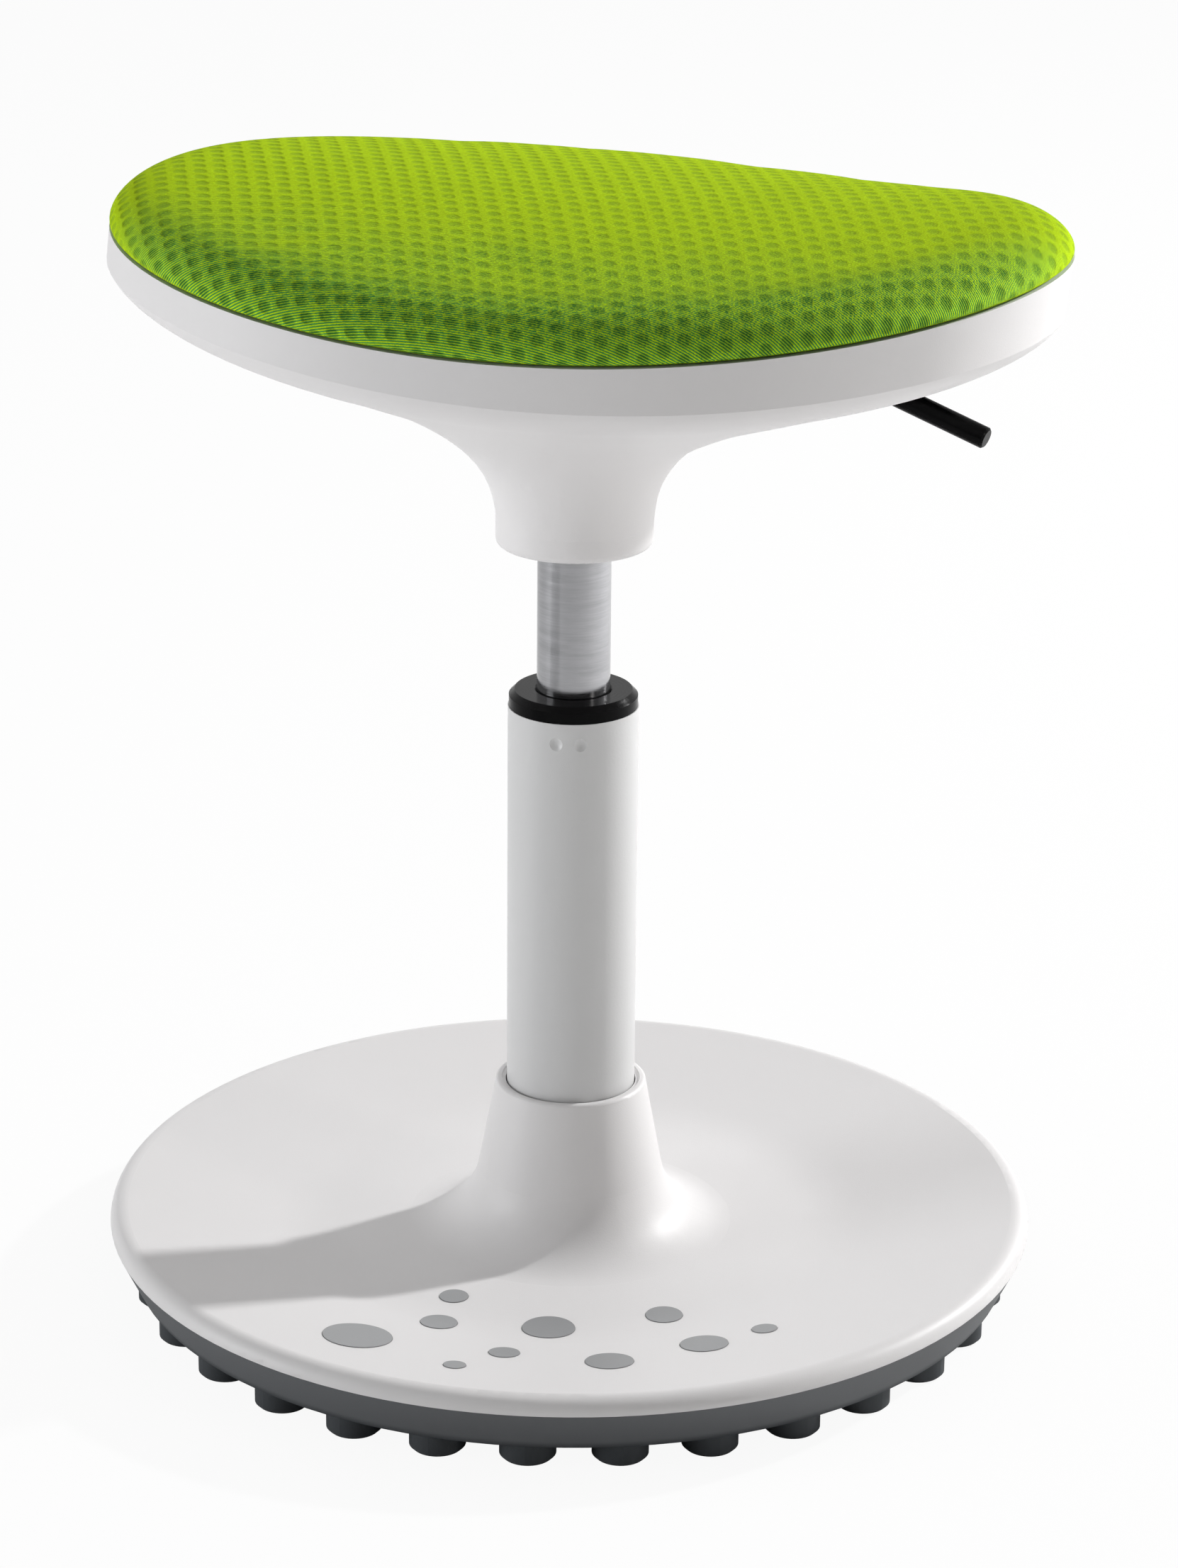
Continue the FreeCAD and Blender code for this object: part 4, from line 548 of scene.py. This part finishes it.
class CushionMesh:
    """A closed cushion of even four-sided cells, with the fabric's flat coordinates as its map."""

    def __init__(self, sizes, slack):
        self.sizes = sizes
        self.shape = SeatShape(sizes, slack)
        self.mesh = bmesh.new()
        self.flat = {}

    def add(self, point, cloth):
        vertex = self.mesh.verts.new(point)
        self.flat[vertex] = cloth
        return vertex

    def cloth_at(self, turn, reach, extra=0.0):
        """Flat coordinates; extra lies beyond the top, where the rows are closer."""
        along = reach + extra * self.sizes.wall_shrink
        x = (reach + extra) * math.cos(turn)
        y = along * math.sin(turn)
        spot = self.shape.centre + Vector((x, y, 0))
        return (spot.x / CLOTH_UNIT, spot.y / CLOTH_UNIT)

    def band(self, first, second):
        for number in range(len(first)):
            after = (number + 1) % len(first)
            self.mesh.faces.new((first[number], first[after], second[after], second[number]))

    def dome(self, place, edge_part, outward):
        """The top or the underside; gives back its edge and the turns of that edge."""
        grid, border, rows = dome_layout(edge_part)

        def put(turn, part):
            return self.add(place(turn, part), self.cloth_at(turn, self.shape.rim(turn) * part))

        made = {cell: put(*spot) for cell, spot in grid.items()}
        for column in range(CORE_CELLS):
            for row in range(CORE_CELLS):
                cells = [(column, row), (column + 1, row), (column + 1, row + 1), (column, row + 1)]
                if not outward:
                    cells.reverse()
                self.mesh.faces.new([made[cell] for cell in cells])
        loops = [[made[cell] for cell in border]]
        for row in rows:
            loops.append([put(*spot) for spot in row])
        for inner, outer in zip(loops, loops[1:]):
            if outward:
                self.band(outer, inner)
            else:
                self.band(inner, outer)
        return loops[-1], [turn for turn, part in rows[-1]]

    def side(self, edge, turns):
        """Loops down the rounded edge; gives back the lowest."""
        reach = [self.shape.rim(turn) * (1 - EDGE_SHARE) for turn in turns]
        extra = [0.0] * len(turns)
        last = [vertex.co.copy() for vertex in edge]
        previous = edge
        for roll in SIDE_ROLLS:
            loop = []
            for number, turn in enumerate(turns):
                point = self.shape.side(turn, roll)
                extra[number] += (point - last[number]).length
                last[number] = point
                loop.append(self.add(point, self.cloth_at(turn, reach[number], extra[number])))
            self.band(loop, previous)
            previous = loop
        return previous

    def data(self, name):
        layer = self.mesh.loops.layers.uv.new("cloth")
        for face in self.mesh.faces:
            face.smooth = True
            for loop in face.loops:
                loop[layer].uv = self.flat[loop.vert]
        data = bpy.data.meshes.new(name)
        self.mesh.to_mesh(data)
        self.mesh.free()
        return data


def cushion_data(sizes, slack):
    cushion = CushionMesh(sizes, slack)
    edge, turns = cushion.dome(cushion.shape.top, 1 - EDGE_SHARE, True)
    lowest = cushion.side(edge, turns)
    foot = cushion.dome(cushion.shape.under, 1.0, False)[0]
    cushion.band(foot, lowest)
    return cushion.data("seat_cover")


def hold_foot(cover, sizes):
    """Marks the low points of the cover, which the pan and the shell's rim hold fast."""
    shape = SeatShape(sizes)
    held = []
    for vertex in cover.data.vertices:
        flat = vertex.co - shape.centre
        turn = math.atan2(flat.y, flat.x)
        part = math.hypot(flat.x, flat.y) / shape.rim(turn)
        if vertex.co.z < shape.rise(turn, part) + sizes.gap + HELD_HEIGHT:
            held.append(vertex.index)
    cover.vertex_groups.new(name="held").add(held, 1.0, "REPLACE")


def foam_fills(cover, sizes):
    """Lets pressure fill the cover as cloth, and keeps each point near its start."""
    start = [vertex.co.copy() for vertex in cover.data.vertices]
    hold_foot(cover, sizes)
    cloth = cover.modifiers.new("Foam", "CLOTH")
    for name, value in FOAM.items():
        setattr(cloth.settings, name, value)
    cloth.settings.vertex_group_mass = "held"
    cloth.settings.effector_weights.gravity = 0.0
    cloth.point_cache.frame_start = 1
    cloth.point_cache.frame_end = FOAM_FRAMES
    scene = bpy.context.scene
    for number in range(1, FOAM_FRAMES + 1):
        scene.frame_set(number)
    filled = cover.evaluated_get(bpy.context.evaluated_depsgraph_get())
    moved = [vertex.co.copy() for vertex in filled.data.vertices]
    cover.modifiers.remove(cloth)
    cover.vertex_groups.clear()
    scene.frame_set(1)
    for vertex, home, goal in zip(cover.data.vertices, start, moved):
        step = goal - home
        vertex.co = home + step * (sizes.swell / (sizes.swell + step.length))
    cover.data.update()


# Fabric

def weave_values(sizes, cloth):
    """Inputs of the weave group, with lengths in the cloth's unit."""
    values = {"Cloth": cloth, "Threads": float(sizes.threads)}
    for label, name in (("Column", "column"), ("Column start", "column_start"), ("Row", "row"),
                        ("Row start", "row_start"), ("Width", "dimple_width"),
                        ("Length", "dimple_length")):
        values[label] = getattr(sizes, name) / CLOTH_UNIT
    for label in ("Column slant", "Column fan", "Row slant", "Row bend", "Row fan", "Row fan back"):
        values[label] = getattr(sizes, label.lower().replace(" ", "_"))
    return values


def fabric(sizes, colours):
    """Threads over a darker ground; the ground shows less, the lower the angle of sight, and the
    lighter lime this gives at a low angle is partly a painted sheen.
    """
    material, graph, shader = new_material("Lime spacer fabric", Specular_IOR_Level=0.04)
    cloth = graph.node("ShaderNodeUVMap", uv_map="cloth").outputs[0]
    fuzz = graph.noise(cloth, FUZZ_SCALE, 4.0, 0.8)
    wisps = graph.noise(graph.stretched(cloth, (0.4, 1.0, 1.0)), WISP_SCALE, 3.0, 0.75)
    cloudy = graph.noise(cloth, CLOUD_SCALE, 3.0)

    # Threads are frayed on the top and straight on the stretched side
    upward = graph.split(graph.place("Normal"))[2]
    loose = graph.smooth(upward, 0.45, 0.95, FRAY_SIDE, FRAY_TOP)
    fray = graph.math("MULTIPLY", graph.swing(wisps), loose)
    frayed = graph.node("ShaderNodeVectorMath", {0: cloth, 1: fray}, operation="ADD")
    weave = group_node(graph, bpy.data.node_groups["Weave"],
                       weave_values(sizes, frayed.outputs["Vector"]))

    # Dimples take a darker colour, partly painted shade in the hollows, with more painted shade at
    # their back end; threads cross them
    # Partly a painted sheen: at a low angle of sight this weight turns the fabric towards the lime
    # of its threads, as the ground hides behind them
    low_angle_sheen = graph.smooth(graph.node("ShaderNodeLayerWeight").outputs["Facing"], 0.42, 0.81)
    # Painted shade: each dimple is darker towards its back end, as if shaded by the rim of its
    # hollow
    near = graph.smooth(weave["Along"], -1.0, 0.8, 0.65, 1.0)
    crossed = graph.math("MULTIPLY_ADD", weave["Thread"], -0.5, 1.0)
    hidden = graph.math("MULTIPLY_ADD", low_angle_sheen, -0.55, 1.0)
    depth = graph.product(weave["Mask"], near, crossed, hidden)
    threads = graph.math("MAXIMUM", low_angle_sheen, graph.smooth(weave["Thread"], 0.15, 0.95))
    tint = graph.mix(threads, opaque(colours.green), opaque(colours.lime))
    tint = graph.mix(depth, tint, opaque(colours.dimple))

    # Light and dark from the threads, the fuzz on them and slow clouds
    contrast = graph.math("MULTIPLY_ADD", low_angle_sheen, -0.3, 0.6)
    shade = graph.product(
        graph.math("MULTIPLY_ADD", graph.swing(weave["Thread"]), contrast, 1.1),
        graph.math("MULTIPLY_ADD", fuzz, 1.1, 0.45),
        graph.math("MULTIPLY_ADD", wisps, 0.6, 0.7),
        graph.math("MULTIPLY_ADD", cloudy, 0.12, 0.94))
    graph.feed(shader.inputs["Base Color"], graph.shaded(tint, shade))
    roughness = graph.math("MULTIPLY_ADD", weave["Thread"], -0.1, 0.95)
    graph.feed(shader.inputs["Roughness"], roughness)
    knit = graph.math("MULTIPLY_ADD", weave["Thread"], 0.25, graph.math("MULTIPLY", fuzz, 0.35))
    bump(graph, shader, graph.math("SUBTRACT", knit, weave["Hollow"]), 0.9, 0.0009)
    return material


# Studio

def camera_matrix(studio):
    """Pitch, yaw and roll of the camera, as its world matrix."""
    pitch, yaw, roll = studio.camera_pitch, studio.camera_yaw, studio.camera_roll
    level_part = math.cos(pitch)
    forward = Vector((math.sin(yaw) * level_part, math.cos(yaw) * level_part, -math.sin(pitch)))
    level = Vector((math.cos(yaw), -math.sin(yaw), 0))
    upward = level.cross(forward)
    right = level * math.cos(roll) + upward * math.sin(roll)
    up = upward * math.cos(roll) - level * math.sin(roll)
    turn = Matrix((right, up, -forward)).transposed().to_4x4()
    return Matrix.Translation((0, -studio.camera_away, studio.camera_height)) @ turn


def area_light(name, power, place, aim, width, height, tint=(1, 1, 1)):
    light = bpy.data.lights.new(name, "AREA")
    light.shape = "RECTANGLE"
    light.size = width
    light.size_y = height
    light.energy = power
    light.color = tint
    lamp = bpy.data.objects.new(name, light)
    lamp.location = place
    lamp.rotation_euler = (Vector(aim) - Vector(place)).to_track_quat("-Z", "Y").to_euler()
    bpy.context.scene.collection.objects.link(lamp)


def white_room(studio):
    """World that lights less from the front and from above, and shows white to the camera."""
    world = bpy.data.worlds.new("White room")
    world.use_nodes = True
    graph = Graph(world.node_tree)
    world.node_tree.nodes.clear()
    to_back, to_top = graph.split(graph.place("Generated"))[1:]
    strength = graph.smooth(to_back, -0.85, 0.3, studio.front, studio.room)
    strength = graph.math("MULTIPLY", strength, graph.smooth(to_top, 0.25, 1.0, 1.0, 0.5))
    room = graph.node("ShaderNodeBackground", {"Color": WHITE, "Strength": strength})
    backdrop = graph.node("ShaderNodeBackground", {"Color": WHITE, "Strength": 1.0})
    path = graph.node("ShaderNodeLightPath").outputs
    seen = graph.math("MAXIMUM", path["Is Camera Ray"], path["Is Transmission Ray"])
    behind = graph.math("MULTIPLY", path["Is Glossy Ray"], graph.smooth(to_back, -0.3, 0.3))
    seen = graph.math("MAXIMUM", seen, behind)
    mixed = graph.node("ShaderNodeMixShader", {0: seen, 1: room.outputs[0], 2: backdrop.outputs[0]})
    graph.node("ShaderNodeOutputWorld", {0: mixed.outputs[0]})
    return world


def pale_floor(studio):
    """Floor that keeps the stool's shadow and shows nearly white to the camera."""
    mesh = bmesh.new()
    bmesh.ops.create_grid(mesh, x_segments=8, y_segments=8, size=FLOOR_HALF)
    data = bpy.data.meshes.new("floor")
    mesh.to_mesh(data)
    mesh.free()
    floor = bpy.data.objects.new("floor", data)
    floor.location.z = FLOOR_Z
    bpy.context.scene.collection.objects.link(floor)
    material, graph, shader = new_material("Pale floor", Roughness=0.9)
    graph.feed(shader.inputs["Base Color"], FLOOR_TINT)
    glow = graph.node("ShaderNodeEmission", {"Color": WHITE, "Strength": 1.0})
    path = graph.node("ShaderNodeLightPath").outputs["Is Camera Ray"]
    share = graph.math("MULTIPLY", path, studio.floor_glow)
    mixed = graph.node("ShaderNodeMixShader", {0: share, 1: shader.outputs[0], 2: glow.outputs[0]})
    output = material.node_tree.nodes["Material Output"]
    graph.feed(output.inputs["Surface"], mixed.outputs[0])
    floor.data.materials.append(material)


def lamps(studio):
    """A key light from behind on the right, and a soft light on either side."""
    turn, rise = studio.key_azimuth, studio.key_elevation
    level = math.cos(rise)
    away = Vector((math.cos(turn) * level, math.sin(turn) * level, math.sin(rise)))
    area_light("key", studio.key, STOOL_MIDDLE + away * KEY_AWAY, STOOL_MIDDLE,
               KEY_WIDTH, KEY_WIDTH)
    area_light("left", studio.left, **LEFT_LAMP)
    area_light("right", studio.right, **RIGHT_LAMP)


def camera_in_front(studio):
    camera = bpy.data.objects.new("camera", bpy.data.cameras.new("camera"))
    camera.data.lens = studio.lens
    camera.data.sensor_width = 36.0
    camera.data.clip_start = 0.05
    camera.data.clip_end = 50.0
    camera.matrix_world = camera_matrix(studio)
    bpy.context.scene.collection.objects.link(camera)
    return camera


# Operators

class STOOL_OT_effects(bpy.types.Operator):
    """Build the node groups: moulded grain, brushing and weave"""
    bl_idname = "stool.effects"
    bl_label = "Shared effects"

    def execute(self, context):
        moulded_grain_group()
        brushed_group()
        weave_group()
        return {"FINISHED"}


class STOOL_OT_seat_cover(bpy.types.Operator):
    """Build the upholstered cushion and let its foam fill the cover"""
    bl_idname = "stool.seat_cover"
    bl_label = "Seat cover"

    def execute(self, context):
        sizes, colours = context.scene.stool_seat, context.scene.stool_colours
        slack = sizes.slack
        cover = bpy.data.objects.new("seat_cover", cushion_data(sizes, slack))
        context.scene.collection.objects.link(cover)
        foam_fills(cover, sizes)
        cover.modifiers.new("Smooth", "SUBSURF").render_levels = 1
        cover.data.materials.append(fabric(sizes, colours))
        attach(cover, "seat")
        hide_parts("seat_cushion")
        return {"FINISHED"}


class STOOL_OT_white_mouldings(bpy.types.Operator):
    """Finish the white cover of the base and the seat shell"""
    bl_idname = "stool.white_mouldings"
    bl_label = "White mouldings"

    def execute(self, context):
        colours = context.scene.stool_colours
        # The shell's white is the cover's plastic set lighter, as painted light
        for name, tint, node in (("Satin white cover", colours.white, "base_cover"),
                                 ("Satin white shell", colours.shell, "seat_shell")):
            white = moulded(name, tint, roughness=0.46, grain=1900.0, tone=0.02, depth=0.0001,
                            Specular_IOR_Level=0.4)
            dress(white, node)
        return {"FINISHED"}


class STOOL_OT_rubber(bpy.types.Operator):
    """Finish the grip pads, the sole with its studs, and the rubber pieces inside"""
    bl_idname = "stool.rubber"
    bl_label = "Rubber"

    def execute(self, context):
        colours = context.scene.stool_colours
        grip = moulded("Grey grip rubber", colours.pad, roughness=0.4, grain=1500.0, tone=0.05)
        seal = moulded("Black rubber", colours.rubber, roughness=0.6)
        dress(grip, "grip_pads")
        dress(seal, "bumper", "piston_ring", "rod_seal")
        dress(self.sole(colours), "base_sole")
        return {"FINISHED"}

    def sole(self, colours):
        """Rubber that is darker on the studs."""
        sole, graph, shader = new_material("Grey sole rubber", Specular_IOR_Level=0.35)
        low = graph.smooth(graph.split(graph.place())[2], SOLE_WALL_Z, STUD_Z)
        tint = graph.mix(low, opaque(colours.sole), opaque(colours.stud))
        height = surface(graph, shader, "Moulded grain", Colour=tint, Grain=1800.0, Tone=0.06,
                         Roughness=0.55)
        bump(graph, shader, height, 0.4, 0.00006)
        return sole


class STOOL_OT_stand_tube(bpy.types.Operator):
    """Finish the painted stand tube"""
    bl_idname = "stool.stand_tube"
    bl_label = "Stand tube"

    def execute(self, context):
        tint = context.scene.stool_colours.tube
        paint = moulded("White tube paint", tint, roughness=0.38, grain=800.0, tone=0.02,
                        depth=0.00014, Coat_Weight=0.15, Coat_Roughness=0.25)
        dress(paint, "stand_tube")
        return {"FINISHED"}


class STOOL_OT_guide_bush(bpy.types.Operator):
    """Finish the glossy bush with its fine moulded rings"""
    bl_idname = "stool.guide_bush"
    bl_label = "Guide bush"

    def execute(self, context):
        material, graph, shader = new_material("Gloss black plastic", Specular_IOR_Level=0.07)
        flat = graph.stretched(graph.place(), (1.0, 1.0, 0.0))
        reach = graph.node("ShaderNodeVectorMath", {0: flat}, operation="LENGTH").outputs["Value"]
        rings = graph.math("SINE", graph.math("MULTIPLY", reach, 2 * math.pi / BUSH_RING))
        tint = opaque(context.scene.stool_colours.black)
        height = surface(graph, shader, "Moulded grain", Colour=tint, Grain=900.0, Tone=0.2,
                         Roughness=0.16)
        bump(graph, shader, graph.math("MULTIPLY_ADD", rings, 0.3, height), 0.25, 0.00008)
        dress(material, "guide_bush")
        return {"FINISHED"}


class STOOL_OT_gas_lift(bpy.types.Operator):
    """Finish the brushed pressure tube, the rod and the parts of the lift"""
    bl_idname = "stool.gas_lift"
    bl_label = "Gas lift"

    def execute(self, context):
        colours = context.scene.stool_colours
        steel = colours.steel
        brushed = metal("Brushed steel", steel, roughness=0.15, depth=0.5, relief=0.00006)
        chromed = metal("Chromed rod", steel, roughness=0.08, lines=3000.0, depth=0.04,
                        relief=0.00001)
        turned = metal("Turned alloy", steel, roughness=0.35, lines=2400.0, depth=0.2)
        drawn = metal("Drawn steel", steel, roughness=0.3, lines=3800.0, depth=0.1)
        dress(brushed, "pressure_tube", "release_button")
        dress(chromed, "piston_rod")
        dress(turned, "piston", "rod_guide", "valve_block")
        dress(drawn, "inner_cylinder", "valve_spring")
        return {"FINISHED"}


class STOOL_OT_bearing(bpy.types.Operator):
    """Finish the thrust bearing and the clip under it"""
    bl_idname = "stool.bearing"
    bl_label = "Bearing"

    def execute(self, context):
        colours = context.scene.stool_colours
        ground = metal("Ground steel", colours.steel, roughness=0.18, lines=4200.0, depth=0.06)
        brass = metal("Pressed brass", colours.brass, roughness=0.34, lines=2000.0, depth=0.12)
        zinc = metal("Zinc plate", colours.zinc, roughness=0.36, lines=1400.0, depth=0.16)
        dress(ground, "lower_race", "upper_race", "bearing_balls")
        dress(brass, "ball_cage", "pan_inserts")
        dress(zinc, "rod_clip", "clip_washer")
        return {"FINISHED"}


class STOOL_OT_base_frame(bpy.types.Operator):
    """Finish the ballast, the column socket and the screws of the base"""
    bl_idname = "stool.base_frame"
    bl_label = "Base frame"

    def execute(self, context):
        colours = context.scene.stool_colours
        iron = moulded("Cast iron", colours.iron, roughness=0.7, grain=700.0, tone=0.3,
                       depth=0.0002, Metallic=0.6)
        zinc = metal("Zinc screws", colours.zinc, roughness=0.32, lines=1800.0)
        dress(iron, "ballast_plate")
        dress(zinc, "cover_screws", "flange_screws", "column_socket")
        return {"FINISHED"}


class STOOL_OT_seat_frame(bpy.types.Operator):
    """Finish the bracket, its socket, pin and bolts, and the pan"""
    bl_idname = "stool.seat_frame"
    bl_label = "Seat frame"

    def execute(self, context):
        colours = context.scene.stool_colours
        paint = moulded("Black bracket paint", colours.black, roughness=0.42, grain=700.0,
                        tone=0.3)
        plastic = moulded("Black pan plastic", colours.rubber, roughness=0.55, grain=1200.0,
                          tone=0.2)
        zinc = metal("Zinc bolts", colours.zinc, roughness=0.32, lines=1800.0)
        dress(paint, "seat_bracket")
        dress(plastic, "seat_pan")
        dress(zinc, "taper_socket", "bracket_bolts", "lever_pin", "shell_screws")
        return {"FINISHED"}


class STOOL_OT_release_lever(bpy.types.Operator):
    """Finish the gloss black lever"""
    bl_idname = "stool.release_lever"
    bl_label = "Release lever"

    def execute(self, context):
        tint = context.scene.stool_colours.black
        paint = moulded("Gloss black paint", tint, roughness=0.2, grain=600.0, tone=0.2,
                        depth=0.00003, Specular_IOR_Level=0.07)
        dress(paint, "release_lever")
        return {"FINISHED"}


class STOOL_OT_studio(bpy.types.Operator):
    """Set up the floor, the white room, the lights and the camera"""
    bl_idname = "stool.studio"
    bl_label = "Studio"

    def execute(self, context):
        scene, studio = context.scene, context.scene.stool_studio
        scene.view_settings.view_transform = "Standard"
        scene.world = white_room(studio)
        pale_floor(studio)
        lamps(studio)
        scene.camera = camera_in_front(studio)
        return {"FINISHED"}


class STOOL_PT_panel(bpy.types.Panel):
    """The stool's sizes, colours and steps"""
    bl_idname = "STOOL_PT_panel"
    bl_label = "Active Stool"
    bl_space_type = "VIEW_3D"
    bl_region_type = "UI"
    bl_category = "Stool"

    def draw(self, context):
        for name in ("stool_seat", "stool_colours", "stool_studio"):
            group = getattr(context.scene, name)
            box = self.layout.box()
            for field in group.bl_rna.properties:
                if field.identifier not in ("name", "rna_type"):
                    box.prop(group, field.identifier)
        for step in STEPS:
            self.layout.operator(step.bl_idname)


GROUPS = {"stool_seat": StoolSeatSizes, "stool_colours": StoolColours, "stool_studio": StoolStudio}
STEPS = (
    STOOL_OT_effects, STOOL_OT_seat_cover, STOOL_OT_white_mouldings, STOOL_OT_rubber,
    STOOL_OT_stand_tube, STOOL_OT_guide_bush, STOOL_OT_gas_lift, STOOL_OT_bearing,
    STOOL_OT_base_frame, STOOL_OT_seat_frame, STOOL_OT_release_lever, STOOL_OT_studio,
)


def register():
    for group in GROUPS.values():
        bpy.utils.register_class(group)
    for step in STEPS:
        bpy.utils.register_class(step)
    bpy.utils.register_class(STOOL_PT_panel)
    for name, group in GROUPS.items():
        setattr(bpy.types.Scene, name, PointerProperty(type=group))


def unregister():
    for name in GROUPS:
        delattr(bpy.types.Scene, name)
    bpy.utils.unregister_class(STOOL_PT_panel)
    for step in reversed(STEPS):
        bpy.utils.unregister_class(step)
    for group in GROUPS.values():
        bpy.utils.unregister_class(group)


def main():
    register()
    for step in STEPS:
        family, name = step.bl_idname.split(".")
        getattr(getattr(bpy.ops, family), name)()
    bpy.context.view_layer.update()


if __name__ == "__main__":
    main()
